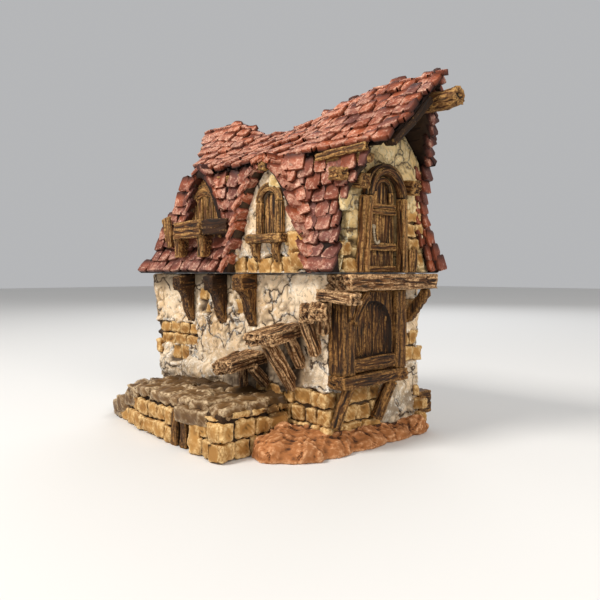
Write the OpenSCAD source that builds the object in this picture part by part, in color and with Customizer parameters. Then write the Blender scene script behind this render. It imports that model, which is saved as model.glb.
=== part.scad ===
// Crooked timber and plaster cottage for a gaming table: a painted model in two
// printed halves. The lower storey is open at the top, and the tiled upper
// storey lifts straight off it. Millimetres, +Z up, front (stair side) at -Y.

/* [Lower storey] */
// Length of the ground storey along the foot of its front wall
house_l = 119; // [110:1:124]
// Depth of the ground storey, front to back
house_w = 64; // [60:1:68]
// Height of the parting line between the two storeys
seam_z = 75; // [72:1:80]
// How far the left end leans out at the parting line
left_lean = 13.5; // [8:0.5:18]
// Thickness of the ground storey walls
wall_t = 5; // [4:0.5:7]
// Thickness of the base plate under the walls
base_t = 4; // [3:0.5:6]

/* [Stone platform] */
// Height of the paved top beside the stair
platform_h = 22; // [18:0.5:25]
// How far the platform stands out from the front wall
platform_out = 39; // [30:1:42]
// Width of the recess with the cellar posts
recess_w = 18; // [12:1:22]
// Depth of that recess
recess_d = 5; // [3:0.5:8]
// Thickness of a cellar post
cellar_post_t = 4; // [3:0.5:5]

/* [Earth skirt] */
// Height of the earth against the walls
skirt_h = 8; // [5:0.5:12]
// How far the earth spreads from the near corner
skirt_out = 20; // [14:1:22]

/* [Stair and brackets] */
// How far the lowest tread stands out from the wall
tread_out = 22; // [16:0.5:24]
// Width of a tread at the wall
tread_w = 16.5; // [12:0.5:18]
// How much higher a tread lies at the wall than at its outer end
tread_rise = 3; // [0:0.5:5]
// Thickness of a tread
tread_t = 5; // [4:0.5:6.5]
// Thickness of a stair strut
strut_t = 3.6; // [3:0.2:5]
// Width of a bracket under the eaves
bracket_w = 6.5; // [5:0.5:8]
// How far a bracket stands out from the wall
bracket_out = 8.5; // [6:0.5:10]
// Height of a bracket
bracket_h = 25; // [18:1:32]

/* [Bay window] */
// How far the bay stands out from the right wall
bay_out = 9.6; // [7:0.2:12]
// Length of the bay along the wall
bay_l = 42.4; // [36:0.2:48]
// Underside of the bay's sill beam
bay_z = 27.5; // [24:0.5:32]
// Height of the sill beam and of the rail above it
bay_beam_h = 5.4; // [4:0.2:7]
// Width of a bay post along the wall
bay_post_w = 7; // [5:0.5:9]
// Width of the arched shutter
bay_shutter_w = 22; // [16:0.5:22]
// Height of the shutter's straight sides
bay_shutter_h = 12; // [8:0.5:14]
// Thickness of boards and shutters
board_t = 2; // [1.5:0.1:3]

/* [Landing] */
// Width of the landing beam out from the right wall
landing_w = 14; // [11:0.5:16]
// Thickness of the landing beam
landing_t = 7; // [5:0.5:9]
// Length of the landing beam
landing_l = 62.5; // [54:0.5:66]

/* [Roof] */
// Height of the break between the steep skirt and the upper slope
break_z = 122; // [116:1:126]
// Half width of the roof at the eaves
eave_half = 36.5; // [35:0.5:40]
// Half width of the steep skirt at its top
top_half = 29.5; // [27:0.5:31]
// Half width of the upper slope at its own eaves
upper_half = 31; // [30:0.5:34]
// Height of the ridge at both ends
ridge_z = 155; // [150:0.5:160]
// How far the ridge sags in the middle
sag_h = 10.5; // [0:0.5:12]
// Thickness of the roof with its tiles
roof_t = 5; // [4:0.5:6]
// How far the ridge stands out past the right wall of the ground storey
prow_x = 39; // [34:1:44]
// How far the ridge runs to the left of that wall
tail_x = 119; // [110:1:124]
// Thickness of the upper storey's floor
deck_t = 3; // [2:0.5:5]
// Diameter of the ridge beam
ridge_beam_d = 8; // [6:0.5:9]
// How far the ridge beam's end stands out past the tiles
ridge_beam_out = 6; // [2:0.5:8]
// Section of a purlin
purlin_t = 4; // [3:0.5:5]

/* [Gables and door] */
// Distance of the right gable's face out from the ground storey's wall
gable_x = 9; // [8:0.5:11]
// Thickness of the gable walls
gable_t = 5; // [4:0.5:6]
// Width of the door leaf
door_w = 19.6; // [16:0.2:22]
// Height of the door leaf to the top of its arch
door_h = 42; // [36:0.5:44]
// Width of a post of the door frame
door_post_w = 5; // [3:0.5:6]
// How far the door frame stands out from the gable
door_frame_out = 3; // [2:0.2:4]
// Thickness of the door leaf
door_t = 3; // [2:0.2:4]

/* [Dormers] */
// Half width of the middle dormer's hood at the eaves
middle_half = 26.5; // [22:0.5:28]
// Height of the middle dormer's hood
middle_apex = 125; // [118:0.5:126]
// Half width of the left dormer's hood at its foot
left_half = 17; // [14:0.5:18]
// Height of the left dormer's hood
left_apex = 126; // [120:0.5:126.5]
// Thickness of the hoods
hood_t = 3.5; // [2.5:0.5:4.5]
// Thickness of the dormer walls
dormer_t = 4; // [3:0.5:5]
// Width of the middle dormer's shutter
middle_shutter_w = 9; // [7:0.5:11]
// Height of the balcony's boards
balcony_h = 8; // [6:0.5:10]
// Length of the balcony
balcony_l = 25; // [20:0.5:27]

/* [Hidden] */

// Running clearance between pieces that are printed apart
fit = 0.3;
// Overlap that makes a cut run clean through a face
cut = 1;
// Ridge line, measured back from the front wall
ridge_y = 28;
// Reach of the platform's tip, the prow and the stub timber from the near wall corner
left_reach = 139;
right_reach = prow_x + ridge_beam_out;
back_reach = house_w + 10;
front_reach = platform_out + 2;
// Place of the near wall corner, so that the box is centred on the origin
house_x = (left_reach - right_reach) / 2;
house_y = (front_reach - back_reach) / 2;

// Plaster, stone, wood, tile, earth and plank colours
plaster = "#d9cba8";
stone = "#b79a68";
wood = "#6d4a2c";
pale_wood = "#8d6f45";
tile = "#b35a3c";
earth = "#8a5238";

function lerp(a, b, t) = a + (b - a) * t;

// Left end of the ground storey at height z: it leans out going up
function wall_left(z) = -(house_l + left_lean * z / seam_z);

// Moves a piece from the near wall corner's frame into the part's own
module place() {
    translate([house_x, house_y, 0]) children();
}

// Closed solid between two grids of points, the outer one first
module grid_shell(outer, inner, flip = false) {
    rows = len(outer);
    cols = len(outer[0]);
    size = rows * cols;
    points = concat([for (row = outer) each row], [for (row = inner) each row]);
    function at(k, i, j) = k * size + i * cols + j;
    function quad(a, b, c, d) = [[a, b, c], [a, c, d]];
    skin = [for (i = [0:rows - 2], j = [0:cols - 2])
        each quad(at(0, i, j), at(0, i + 1, j), at(0, i + 1, j + 1), at(0, i, j + 1))];
    lining = [for (i = [0:rows - 2], j = [0:cols - 2])
        each quad(at(1, i, j), at(1, i, j + 1), at(1, i + 1, j + 1), at(1, i + 1, j))];
    ends = [for (i = [0:rows - 2]) each concat(
        quad(at(0, i, 0), at(1, i, 0), at(1, i + 1, 0), at(0, i + 1, 0)),
        quad(at(0, i, cols - 1), at(0, i + 1, cols - 1), at(1, i + 1, cols - 1),
             at(1, i, cols - 1)))];
    edges = [for (j = [0:cols - 2]) each concat(
        quad(at(0, 0, j), at(0, 0, j + 1), at(1, 0, j + 1), at(1, 0, j)),
        quad(at(0, rows - 1, j), at(1, rows - 1, j), at(1, rows - 1, j + 1),
             at(0, rows - 1, j + 1)))];
    faces = concat(skin, lining, ends, edges);
    polyhedron(points, flip ? faces : [for (f = faces) [f[0], f[2], f[1]]]);
}

// Mound on the ground: an outline at z = 0, the same outline drawn in at its own heights,
// and a crown point in the middle
module mound(foot, shoulder, crown) {
    n = len(foot);
    points = concat([for (p = foot) [p[0], p[1], 0]], shoulder, [crown]);
    sides = [for (i = [0:n - 1]) let (k = (i + 1) % n)
        each [[i, n + k, n + i], [i, k, n + k]]];
    top = [for (i = [0:n - 1]) [n + i, n + (i + 1) % n, 2 * n]];
    floor_face = [concat([0], [for (i = [n - 1:-1:1]) i])];
    polyhedron(points, concat(sides, top, floor_face));
}

// Upright slab whose outline is drawn in X and Z, from y0 back to y1
module slab_xz(outline, y0, y1) {
    translate([0, y1, 0])
        rotate([90, 0, 0])
            linear_extrude(y1 - y0)
                polygon(outline);
}

// Upright slab whose outline is drawn in Y and Z, from x0 to x1
module slab_yz(outline, x0, x1) {
    translate([x0, 0, 0])
        rotate([90, 0, 90])
            linear_extrude(x1 - x0)
                polygon(outline);
}

// Outline of a board with a round arch on top: width, straight height, rise of the arch
function arched(w, side_h, rise, steps = 12) = concat(
    [[-w / 2, 0], [w / 2, 0]],
    [for (i = [0:steps]) let (a = 180 * i / steps)
        [w / 2 * cos(a), side_h + rise * sin(a)]]);

function shifted(outline, dx, dz) = [for (p = outline) p + [dx, dz]];

// Base plate: the flat bottom of the print, inside the line of the walls
module base_plate() {
    place() color(earth)
        slab_xz([[wall_left(0), 0], [0, 0], [0, base_t], [wall_left(base_t), base_t]], 0, house_w);
}

// Earth banked round the near corner and along the right wall
module earth_skirt() {
    place() color(earth) {
        foot = [[0, 0], [0, house_w], [7, house_w - 2], [6, 52], [5, 32], [4, 15], [2, 2],
                [6, -skirt_out / 2], [0, -skirt_out], [-11, -skirt_out * 1.4],
                [-19.5, -skirt_out * 1.25], [-22, 0]];
        heights = [skirt_h + 2, skirt_h - 1, 1.5, 2, 3, 3, 4, 4, 4, 4, skirt_h, skirt_h + 3];
        shoulder = [for (i = [0:len(foot) - 1])
            let (keep = foot[i][0] < -19 || foot[i][0] == 0 && foot[i][1] >= 0 ? 1 : 0.86)
            [foot[i][0] * keep, foot[i][1] * (foot[i][0] > 0 ? 1 : min(keep, 0.95)), heights[i]]];
        mound([for (p = foot) p], shoulder, [1, -1, skirt_h + 1]);
    }
}

// Rough stone podium that the stair rises from: two courses under a paved top, with a timbered
// recess in its front and one heavy slab that hangs over the recess
module stone_platform() {
    far_x = wall_left(platform_h);
    front_y = -front_reach;
    foot = [[-22, 0], [-20, front_y], [-56, front_y + 4], [-92, front_y + 8], [-120, -26],
            [-left_reach, -19], [far_x - 12, -4], [far_x - 5, 0]];
    tops = [1, 0.98, 0.96, 0.93, 0.55, 0.1, 0.25, 0.45];
    draw_in = [[0, 0], [0, 1], [0, 1], [0, 1], [0, 1], [5, 2], [1, -1], [1, 0]];
    shoulder = [for (i = [0:len(foot) - 1])
        [foot[i][0] + draw_in[i][0], foot[i][1] + draw_in[i][1], platform_h * tops[i]]];
    slab = [[-49, recess_back - 6], [-45, front_y + 1.5], [-36, front_y], [-30, front_y + 1.5],
            [-30, recess_back], [recess_x + recess_w + fit, recess_back],
            [recess_x + recess_w + fit, recess_back - 6]];
    place() color(stone) {
        difference() {
            mound(foot, shoulder, [-60, -14, platform_h]);
            translate([recess_x, -front_reach, -cut])
                cube([recess_w, recess_back + front_reach, recess_h + cut]);
            for (z = [recess_h / 2, recess_h])
                bed_joint(foot, z);
            for (x = [-38, -54, -71, -88, -103])
                translate([x, front_y - cut, platform_h - joint_deep - 0.4])
                    cube([joint_t, front_reach - joint_deep, platform_h]);
            for (y = [-26, -13])
                translate([-left_reach, y, platform_h - joint_deep - 0.4])
                    cube([left_reach - 22 - joint_deep, joint_t, platform_h]);
        }
        translate([0, 0, recess_h - 2.6])
            linear_extrude(platform_h - 2 - recess_h + 2.6)
                polygon(slab);
    }
}

// Open joint between two courses, cut in from the front and the near end of an outline
module bed_joint(foot, z) {
    in = joint_deep;
    difference() {
        translate([-left_reach - cut, -front_reach - cut, z])
            cube([left_reach, front_reach - 2, joint_t]);
        translate([0, 0, z - cut])
            linear_extrude(joint_t + 2 * cut)
                polygon([foot[0] + [-in, cut], foot[1] + [-in, in], foot[2] + [0, in], foot[3] + [0, in],
                         foot[4] + [0, in], foot[5] + [-2 * cut, in], foot[7] + [-cut, cut]]);
    }
}

// Width and depth of the open joints in the podium
joint_t = 0.9;
joint_deep = 1.5;

// Left end, back and height of the recess
recess_x = -60;
recess_back = -platform_out + recess_d + 2.5;
recess_h = platform_h * 0.72;

// Upright posts in the recess of the podium, as of an old cellar hatch
module cellar_posts() {
    pitch = (recess_w - cellar_post_t) / 2;
    place() color(wood)
        for (i = [0:2])
            translate([recess_x + i * pitch, recess_back - fit - recess_d, 0])
                cube([cellar_post_t, recess_d, recess_h - fit - i]);
}

// Front wall, plaster over stone; its left end leans out
module front_wall() {
    place() color(plaster)
        slab_xz([[wall_left(base_t), base_t], [0, base_t], [0, seam_z], [wall_left(seam_z), seam_z]],
                0, wall_t);
}

module back_wall() {
    place() color(plaster)
        slab_xz([[wall_left(base_t), base_t], [0, base_t], [0, seam_z], [wall_left(seam_z), seam_z]],
                house_w - wall_t, house_w);
}

module left_wall() {
    place() color(plaster)
        slab_xz([[wall_left(base_t), base_t], [wall_left(base_t) + wall_t, base_t],
                 [wall_left(seam_z) + wall_t, seam_z], [wall_left(seam_z), seam_z]],
                wall_t, house_w - wall_t);
}

// Places of the bay's rails and shutter, worked out from its sill
bay_rail_z = bay_z + bay_beam_h + 1;
bay_open_z = bay_rail_z + bay_beam_h + fit;
bay_mid_y = bay_l / 2;

// Right wall with the window opening that the bay's shutter closes
module right_wall() {
    opening = arched(bay_shutter_w - 4, bay_shutter_h, bay_shutter_w / 2 - 2);
    place() color(plaster)
        difference() {
            slab_yz([[wall_t, base_t], [house_w - wall_t, base_t], [house_w - wall_t, seam_z],
                     [wall_t, seam_z]], -wall_t, 0);
            slab_yz(shifted(opening, bay_mid_y, bay_open_z + 2), -wall_t - cut, cut);
        }
}

// Knee bracket under the front eaves: a short joist end on a tapering knee
module bracket(x, lean) {
    top = seam_z - fit;
    slab_yz([[0, top], [-bracket_out, top - lean], [-bracket_out, top - 7],
             [-bracket_out * 0.62, top - 11], [-bracket_out * 0.45, top - bracket_h * 0.7],
             [0, top - bracket_h]],
            x - bracket_w / 2, x + bracket_w / 2);
}

bracket_xs = [-47, -69, -95];
module bracket_1() place() color(wood) bracket(bracket_xs[0], 0);
module bracket_2() place() color(wood) bracket(bracket_xs[1], 0.6);
module bracket_3() place() color(wood) bracket(bracket_xs[2], 1.2);

// Top, near end and underside of the landing
landing_top = seam_z - fit;
landing_y = -2.5;
landing_under = landing_top - landing_t;

// Rough split plank of the stair: a plan outline with the wall on Y 0, cut to a thickness that
// climbs towards the wall, its outer top edge worn round
module tread(outline, z0) {
    wear = 1;
    y0 = min([for (p = outline) p[1]]);
    place() color(pale_wood)
        intersection() {
            slab_yz([[y0 + wear * 0.6, z0], [0, z0 + tread_rise], [0, z0 + tread_rise + tread_t],
                     [y0 + wear, z0 + tread_t], [y0, z0 + tread_t - wear]],
                    -left_reach, left_reach);
            linear_extrude(seam_z)
                polygon(outline);
        }
}

// Undersides of the treads' outer ends, and their right edges at the wall
tread_1_z = 31.5;
tread_2_z = 45;
tread_3_z = landing_under - 2 * tread_t - tread_rise - fit;
tread_1_x = -37;
tread_2_x = -13;
module tread_1()
    tread([[tread_1_x - 1.25 * tread_w, 0], [tread_1_x - 0.7 * tread_w, -tread_out],
           [tread_1_x - 1.5, -tread_out], [tread_1_x, 0]], tread_1_z);
module tread_2()
    tread([[tread_2_x - tread_w, 0], [tread_2_x - tread_w, 2 - tread_out], [tread_2_x, 2 - tread_out],
           [tread_2_x, 0]], tread_2_z);
module tread_3()
    tread([[-tread_w, 0], [-0.28 * tread_w, -tread_out / 2], [8, -tread_out / 2], [8, -5], [0, 0]],
          tread_3_z);

// Narrow plank under the landing's near end, laid along the wall
module tread_4() place() color(pale_wood)
    slab_yz([[-tread_4_out, landing_under - tread_t], [0, landing_under - tread_t], [0, landing_under],
             [1 - tread_4_out, landing_under], [-tread_4_out, landing_under - 1]], 0, landing_w + 4.5);
tread_4_out = 7;

// Slanting struts from the wall to the undersides of the treads
module stair_struts() {
    function under(y, y0, z0) = z0 + tread_rise * (y - y0 - 0.6) / (-y0 - 0.6);
    // Strut in the YZ plane: its top lies along the tread's sloping underside
    function strut(out, y0, z0, foot_z) =
        let (near = -out, far = -out + 1.3 * strut_t)
        [[0, foot_z], [0, foot_z + 1.6 * strut_t], [far, under(far, y0, z0)], [near, under(near, y0, z0)]];
    place() color(wood) {
        slab_yz(strut(9, -tread_out, tread_1_z, platform_h + 1), tread_1_x - 3, tread_1_x - 3 + strut_t);
        slab_yz(strut(16, 2 - tread_out, tread_2_z, platform_h + 2), tread_2_x - 9.5,
                tread_2_x - 9.5 + strut_t);
        slab_yz(strut(8.5, 2 - tread_out, tread_2_z, tread_2_z - 12), tread_2_x - 4,
                tread_2_x - 4 + strut_t);
        slab_yz(strut(8, -tread_out / 2, tread_3_z, tread_3_z - 16), -8, -8 + strut_t);
    }
}

// Heavy beam along the right wall that the door opens on to
module landing_beam() {
    wear = 1.5;
    place() color(pale_wood)
        slab_xz([[0, landing_under], [landing_w - 1, landing_under], [landing_w, landing_top - wear],
                 [landing_w - wear, landing_top], [0, landing_top]],
                landing_y, landing_y + landing_l);
}

// Knees under the landing: one on the near post of the bay, one from the wall beyond the bay
module landing_brace() {
    near_x = bay_out - 1;
    far_y = landing_y + landing_l - 2 * strut_t;
    place() color(wood) {
        slab_xz([[near_x, landing_under - 15], [near_x + 1.6, landing_under - 8],
                 [landing_w - 1, landing_under], [near_x, landing_under]], 2, 2 + strut_t);
        slab_xz([[0, landing_under - 16], [3, landing_under - 15], [landing_w - 1.5, landing_under - 3],
                 [landing_w - 1.5, landing_under], [landing_w - 5, landing_under],
                 [0, landing_under - 11]], far_y, far_y + strut_t);
    }
}

// Sill beam of the bay, with its two ends that tie it to the wall
module bay_sill() {
    place() color(wood)
        translate([0, 0, bay_z])
            cube([bay_out, bay_l, bay_beam_h]);
}

// Corner posts of the bay, from the sill to the landing beam
module bay_posts() {
    foot_z = bay_z + bay_beam_h;
    post_h = landing_under - foot_z;
    place() color(wood)
        for (y = [0, bay_l - bay_post_w])
            translate([0, y, foot_z])
                cube([bay_out - 1, bay_post_w, post_h]);
}

// Boarding between the posts: rail, boards round the opening, and the arched shutter
module bay_boards() {
    between = bay_l - 2 * bay_post_w;
    foot_z = bay_z + bay_beam_h;
    top_z = landing_under;
    face_x = bay_out - 5;
    shutter = arched(bay_shutter_w, bay_shutter_h, bay_shutter_w / 2);
    place() color(wood) {
        difference() {
            translate([face_x, bay_post_w, foot_z])
                cube([board_t, between, top_z - foot_z]);
            slab_yz(shifted(shutter, bay_mid_y, bay_open_z), face_x - cut, face_x + board_t + cut);
        }
        slab_yz(shifted(shutter, bay_mid_y, bay_open_z), face_x - board_t / 2, face_x + board_t / 2);
        translate([face_x + board_t, bay_post_w, bay_rail_z])
            cube([bay_out - 1.5 - face_x - board_t, between, bay_beam_h]);
    }
}

// Two struts from the foot of the wall to the bay's outer edge
module bay_struts() {
    place() color(wood)
        for (run = [[6, 2], [35, 29]])
            slab_bar([bay_out - 3, run[0], bay_z], [0.5, run[1], skirt_h + 4]);
}

// Strut of square section whose ends are cut level
module slab_bar(top, foot) {
    half = strut_t / 2;
    function ring(p, lift) = [[p[0] - half * (lift ? 1 : 0), p[1] - half, p[2]],
                              [p[0] + half * (lift ? 1 : 2), p[1] - half, p[2]],
                              [p[0] + half * (lift ? 1 : 2), p[1] + half, p[2]],
                              [p[0] - half * (lift ? 1 : 0), p[1] + half, p[2]]];
    polyhedron(concat(ring(foot, false), ring(top, true)),
               [[0, 1, 2], [0, 2, 3], [4, 7, 6], [4, 6, 5], [0, 4, 5], [0, 5, 1],
                [1, 5, 6], [1, 6, 2], [2, 6, 7], [2, 7, 3], [3, 7, 4], [3, 4, 0]]);
}

// Short stub of timber by the far corner
module back_timber() {
    place() color(wood)
        translate([-6, house_w, skirt_h - 1])
            cube([7, back_reach - house_w, 11]);
}

// Ridge: level at both ends, sagging towards the left part of the roof
sag_x = -59;
sag_left = 36;
sag_right = 66;
function ridge_at(x) =
    let (u = (x - sag_x) / (x < sag_x ? sag_left : sag_right))
    abs(u) >= 1 ? ridge_z : ridge_z - sag_h * pow(1 - u * u, 2);

// Steep skirt: half width at height z, with its feet flared out at the eaves
flare_power = 3;
function skirt_half(z) =
    top_half + (eave_half - top_half) * pow(max(0, (break_z - z) / (break_z - seam_z)), flare_power);

// Skirt height as a share, and where its ends lie at that share
plate_z = break_z - purlin_t;
function share(z) = (z - seam_z) / (break_z - seam_z);
function front_verge(z) =
    gable_x + lookup(share(z), [[0, 2], [0.17, -1], [0.53, -4], [0.79, 5], [1, 15]]);
function back_verge(z) = gable_x + lookup(share(z), [[0, 3], [0.36, -1], [0.85, -1], [1, 3]]);
function left_verge(z) =
    wall_left(seam_z) + lookup(share(z), [[0, -1], [0.17, 5], [0.34, 11.5], [0.53, 18.5],
                                          [0.81, 26.5], [1, 31.5]]);

// One side of the steep skirt between two ends given by height; side is 1 at the front
skirt_rows = 10;
skirt_heights = [for (j = [0:skirt_rows]) lerp(seam_z, plate_z, j / skirt_rows)];
module skirt(side, starts, stops) {
    function grid(depth) = [for (edge = [starts, stops])
        [for (j = [0:skirt_rows]) let (z = skirt_heights[j])
            [edge[j], ridge_y - side * (skirt_half(z) - depth), z]]];
    grid_shell(grid(0), grid(roof_t), side < 0);
}

// Upper slope: hollow curve from its own eaves to the ridge, on end lines that run out
// to the prow on the right and to the tail on the left
upper_eave_z = break_z + 3.5;
slope_power = 0.7;
ridge_steps = 14;
// Rows of tiles up an upper slope, and how far the foot of a row stands over the row below it
tile_rows = 8;
tile_step = 1.3;
// Radius over which the two slopes round into each other at the ridge
ridge_round = 4;
function slope_share(h) =
    (pow(h * h + ridge_round * ridge_round, slope_power / 2) - pow(ridge_round, slope_power))
    / (pow(upper_half * upper_half + ridge_round * ridge_round, slope_power / 2)
       - pow(ridge_round, slope_power));
function slope_z(x, h) = ridge_at(x) - (ridge_at(x) - upper_eave_z) * slope_share(h);
// Half width at which the slope has fallen by that share of its height
function slope_half(fall) =
    sqrt(max(0, pow(fall * (pow(upper_half * upper_half + ridge_round * ridge_round, slope_power / 2)
                            - pow(ridge_round, slope_power)) + pow(ridge_round, slope_power),
                    2 / slope_power) - ridge_round * ridge_round));
function prow_at(h, side) =
    side > 0 ? prow_x - 7 * h / upper_half : prow_x - 27.5 * pow(h / upper_half, 0.8);
function tail_at(h) = -tail_x + 32 * h / upper_half;

// Half width at the foot of a row of tiles; row tile_rows is the ridge
function row_half(row) = upper_half * pow(1 - row / tile_rows, 1.06);

// The rows as [half width, drop] pairs from the eaves up: the foot of a row, then its top, which
// lies a step lower than the next row's foot; the last top is the ridge itself
tile_line = [for (row = [0:tile_rows - 1]) each
    [[row_half(row), 0], [row_half(row + 1), row < tile_rows - 1 ? tile_step : 0]]];

module upper_slope(side) {
    tiled = [for (i = [0:ridge_steps])
        [for (p = tile_line)
            let (h = p[0], x = lerp(tail_at(h), prow_at(h, side), i / ridge_steps))
            [x, ridge_y - side * max(h, 0.01), slope_z(x, h) - p[1]]]];
    function lining(depth) = [for (i = [0:ridge_steps])
        [for (j = [0:len(tile_line) - 1])
            let (h = upper_half * (1 - j / (len(tile_line) - 1)),
                 x = lerp(tail_at(h), prow_at(h, side), i / ridge_steps))
            [x, ridge_y - side * max(h, 0.01), max(slope_z(x, h) - depth, break_z)]]];
    grid_shell(tiled, lining(roof_t * 1.1), side < 0);
}

// Arch of a dormer's hood, drawn in X and Z from its left foot to its right foot
hood_power = 1.82;
hood_steps = 14;
function hood_point(mid_x, half, apex, foot, inset, u) =
    [mid_x + (half - inset) * u,
     foot + (apex - 1.2 * inset - foot) * (1 - pow(abs(u), hood_power))];
function hood_line(mid_x, half, apex, foot, inset) = [for (i = [0:hood_steps])
    hood_point(mid_x, half, apex, foot, inset, 2 * i / hood_steps - 1)];
// Half width of that arch at height z
function hood_half(half, apex, foot, z) =
    half * pow(max(0, (apex - z) / (apex - foot)), 1 / hood_power);

// Hood over a dormer: an arched shell from its overhang back to the inside of the skirt;
// the overhang is given at the left foot, at the apex and at the right foot
module hood(mid_x, half, apex, foot, face_y, overhang) {
    function front(u) = face_y - lookup(u, [[-1, overhang[0]], [0, overhang[1]], [1, overhang[2]]]);
    function back(z) = z < plate_z - 1 ? ridge_y - (skirt_half(z) - roof_t)
        : ridge_y - max(upper_half, top_half) - fit;
    function grid(inset) = [for (i = [0:hood_steps])
        let (u = 2 * i / hood_steps - 1,
             p = hood_point(mid_x, half, apex, foot, inset, u),
             q = hood_point(mid_x, half, apex, foot, 0, u))
        [[p[0], front(u), p[1]], [p[0], back(q[1]), p[1]]]];
    grid_shell(grid(0), grid(hood_t));
}

middle_x = -30;
middle_face_y = -6;
left_x = wall_left(seam_z) + 52.5;
left_face_y = ridge_y - top_half;
left_foot = seam_z + 17;
middle_overhang = [5, 4.5, 0.8];
left_overhang = [2, 6, 2];

// Floor of the upper storey; it closes the underside of the half that lifts off
module upper_floor() {
    half = skirt_half(seam_z + deck_t) - roof_t - fit;
    start = left_verge(seam_z + deck_t) + left_inset + gable_t + fit;
    place() color(pale_wood)
        translate([start, ridge_y - half, seam_z])
            cube([gable_x - gable_t - fit - start, 2 * half, deck_t]);
}

// Half width between the skirts, or under the upper slopes, for a gable wall at x
function gable_half(x, z) =
    let (under = ridge_at(x) - roof_t * 1.1 - z, rise = ridge_at(x) - upper_eave_z)
    z <= plate_z ? skirt_half(z) - roof_t - fit
    : min(top_half - roof_t - fit, slope_half(max(0, under / rise)) - fit);
gable_rows = 14;
// How far the left gable is set in from the end of the skirt
left_inset = 4;

// The ridge beam's axis: two straight lengths that meet under the sag
beam_drop = roof_t * 1.1 + ridge_beam_d / 2 + 0.6;
beam_mid = [sag_x, ridge_y, ridge_at(sag_x) - beam_drop - 1.2];
beam_right = [prow_x + ridge_beam_out, ridge_y, ridge_z - beam_drop];
beam_left = [-tail_x - 2, ridge_y, ridge_z - beam_drop];
function beam_axis_z(x) =
    x > sag_x ? lerp(beam_mid[2], beam_right[2], (x - sag_x) / (beam_right[0] - sag_x))
    : lerp(beam_mid[2], beam_left[2], (sag_x - x) / (sag_x - beam_left[0]));

module round_bar(from, to, d) {
    run = to - from;
    translate(from)
        rotate([0, acos(run[2] / norm(run)), atan2(run[1], run[0])])
            cylinder(h = norm(run), d = d, $fn = 24);
}

module ridge_beam() {
    place() color(wood)
        intersection() {
            union() {
                round_bar(beam_mid, beam_right, ridge_beam_d);
                round_bar(beam_mid, beam_left, ridge_beam_d);
            }
            translate([-tail_x - 2, 0, 0])
                cube([tail_x + 2 + prow_x + ridge_beam_out, house_w * 2, ridge_z]);
        }
}

// Door opening, drawn in Y and Z
door_shift = 3.5;
door_y = ridge_y - door_shift;
door_side_h = door_h - door_w / 2;
door_outline = shifted(arched(door_w, door_side_h, door_w / 2, 16), door_y, seam_z);

// Right gable wall with the doorway cut through; its top holds the ridge beam
module right_gable() {
    top_z = beam_axis_z(gable_x - gable_t) - 2;
    rows = [for (j = [0:gable_rows]) lerp(seam_z, top_z, j / gable_rows)];
    place() color(plaster)
        difference() {
            slab_yz(concat([for (z = rows) [ridge_y + gable_half(gable_x - gable_t, z), z]],
                           [for (j = [gable_rows:-1:0]) [ridge_y - gable_half(gable_x - gable_t, rows[j]),
                                                         rows[j]]]),
                    gable_x - gable_t, gable_x);
            slab_yz(shifted(arched(door_w, door_side_h + cut, door_w / 2, 16), door_y, seam_z - cut),
                    gable_x - gable_t - cut, gable_x + cut);
            round_bar(beam_mid, beam_right, ridge_beam_d + 2 * fit);
        }
}

// Left gable wall; it leans in with the end of the skirt
module left_gable() {
    top_z = beam_axis_z(left_verge(plate_z) + left_inset + gable_t) - ridge_beam_d / 2 - 2 * fit;
    rows = [for (j = [0:gable_rows]) lerp(seam_z, top_z, j / gable_rows)];
    function outer_x(z) = left_verge(min(z, plate_z)) + left_inset;
    function ring(z) = let (h = gable_half(outer_x(z), z))
        [[outer_x(z), ridge_y - h, z], [outer_x(z), ridge_y + h, z]];
    function lining(z) = let (h = gable_half(outer_x(z), z))
        [[outer_x(z) + gable_t, ridge_y - h, z], [outer_x(z) + gable_t, ridge_y + h, z]];
    place() color(plaster)
        grid_shell([for (z = rows) ring(z)], [for (z = rows) lining(z)]);
}

// Skirt over the front, to the left of the middle dormer, with the left dormer's opening
module roof_front_left() {
    place() color(tile)
        difference() {
            skirt(1, [for (z = skirt_heights) left_verge(z)],
                  [for (z = skirt_heights)
                      middle_x - hood_half(middle_half, middle_apex, seam_z, z) - fit]);
            slab_xz(hood_line(left_x, left_half + fit, left_apex + fit, left_foot - fit, 0),
                    ridge_y - eave_half - cut, ridge_y);
        }
}

// Skirt over the front, between the middle dormer and the right gable
module roof_front_right() {
    place() color(tile)
        skirt(1, [for (z = skirt_heights)
                      middle_x + hood_half(middle_half, middle_apex, seam_z, z) + fit],
              [for (z = skirt_heights) front_verge(z)]);
}

module roof_back() {
    place() color(tile)
        skirt(-1, [for (z = skirt_heights) left_verge(z)], [for (z = skirt_heights) back_verge(z)]);
}

module roof_upper_front() place() color(tile) upper_slope(1);
module roof_upper_back() place() color(tile) upper_slope(-1);

// Plates at the break of the roof, on top of the skirts
module purlins() {
    start = left_verge(plate_z) + 3;
    place() color(pale_wood)
        for (side = [-1, 1])
            translate([start, ridge_y + side * (top_half - roof_t / 2) - roof_t / 2, plate_z])
                cube([(side < 0 ? front_verge(break_z) : back_verge(break_z)) - 2 - start, roof_t,
                      purlin_t]);
}

// Arched frame round the door: posts, double ring and the stub beams at its springing
module door_frame() {
    ring = arched(door_w + 2 * door_post_w, door_side_h, door_w / 2 + door_post_w, 16);
    stub = min(6, top_half - roof_t - fit - door_shift - door_w / 2 - door_post_w);
    place() color(wood) {
        difference() {
            slab_yz(shifted(ring, door_y, seam_z), gable_x, gable_x + door_frame_out);
            slab_yz(shifted(arched(door_w, door_side_h + cut, door_w / 2, 16), door_y, seam_z - cut),
                    gable_x - cut, gable_x + door_frame_out + cut);
        }
        for (side = [-1, 1])
            translate([gable_x, door_y + side * (door_w / 2 + door_post_w + stub / 2) - stub / 2,
                       seam_z + door_side_h + 3])
                cube([door_frame_out + 2, stub, stub]);
    }
}

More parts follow.
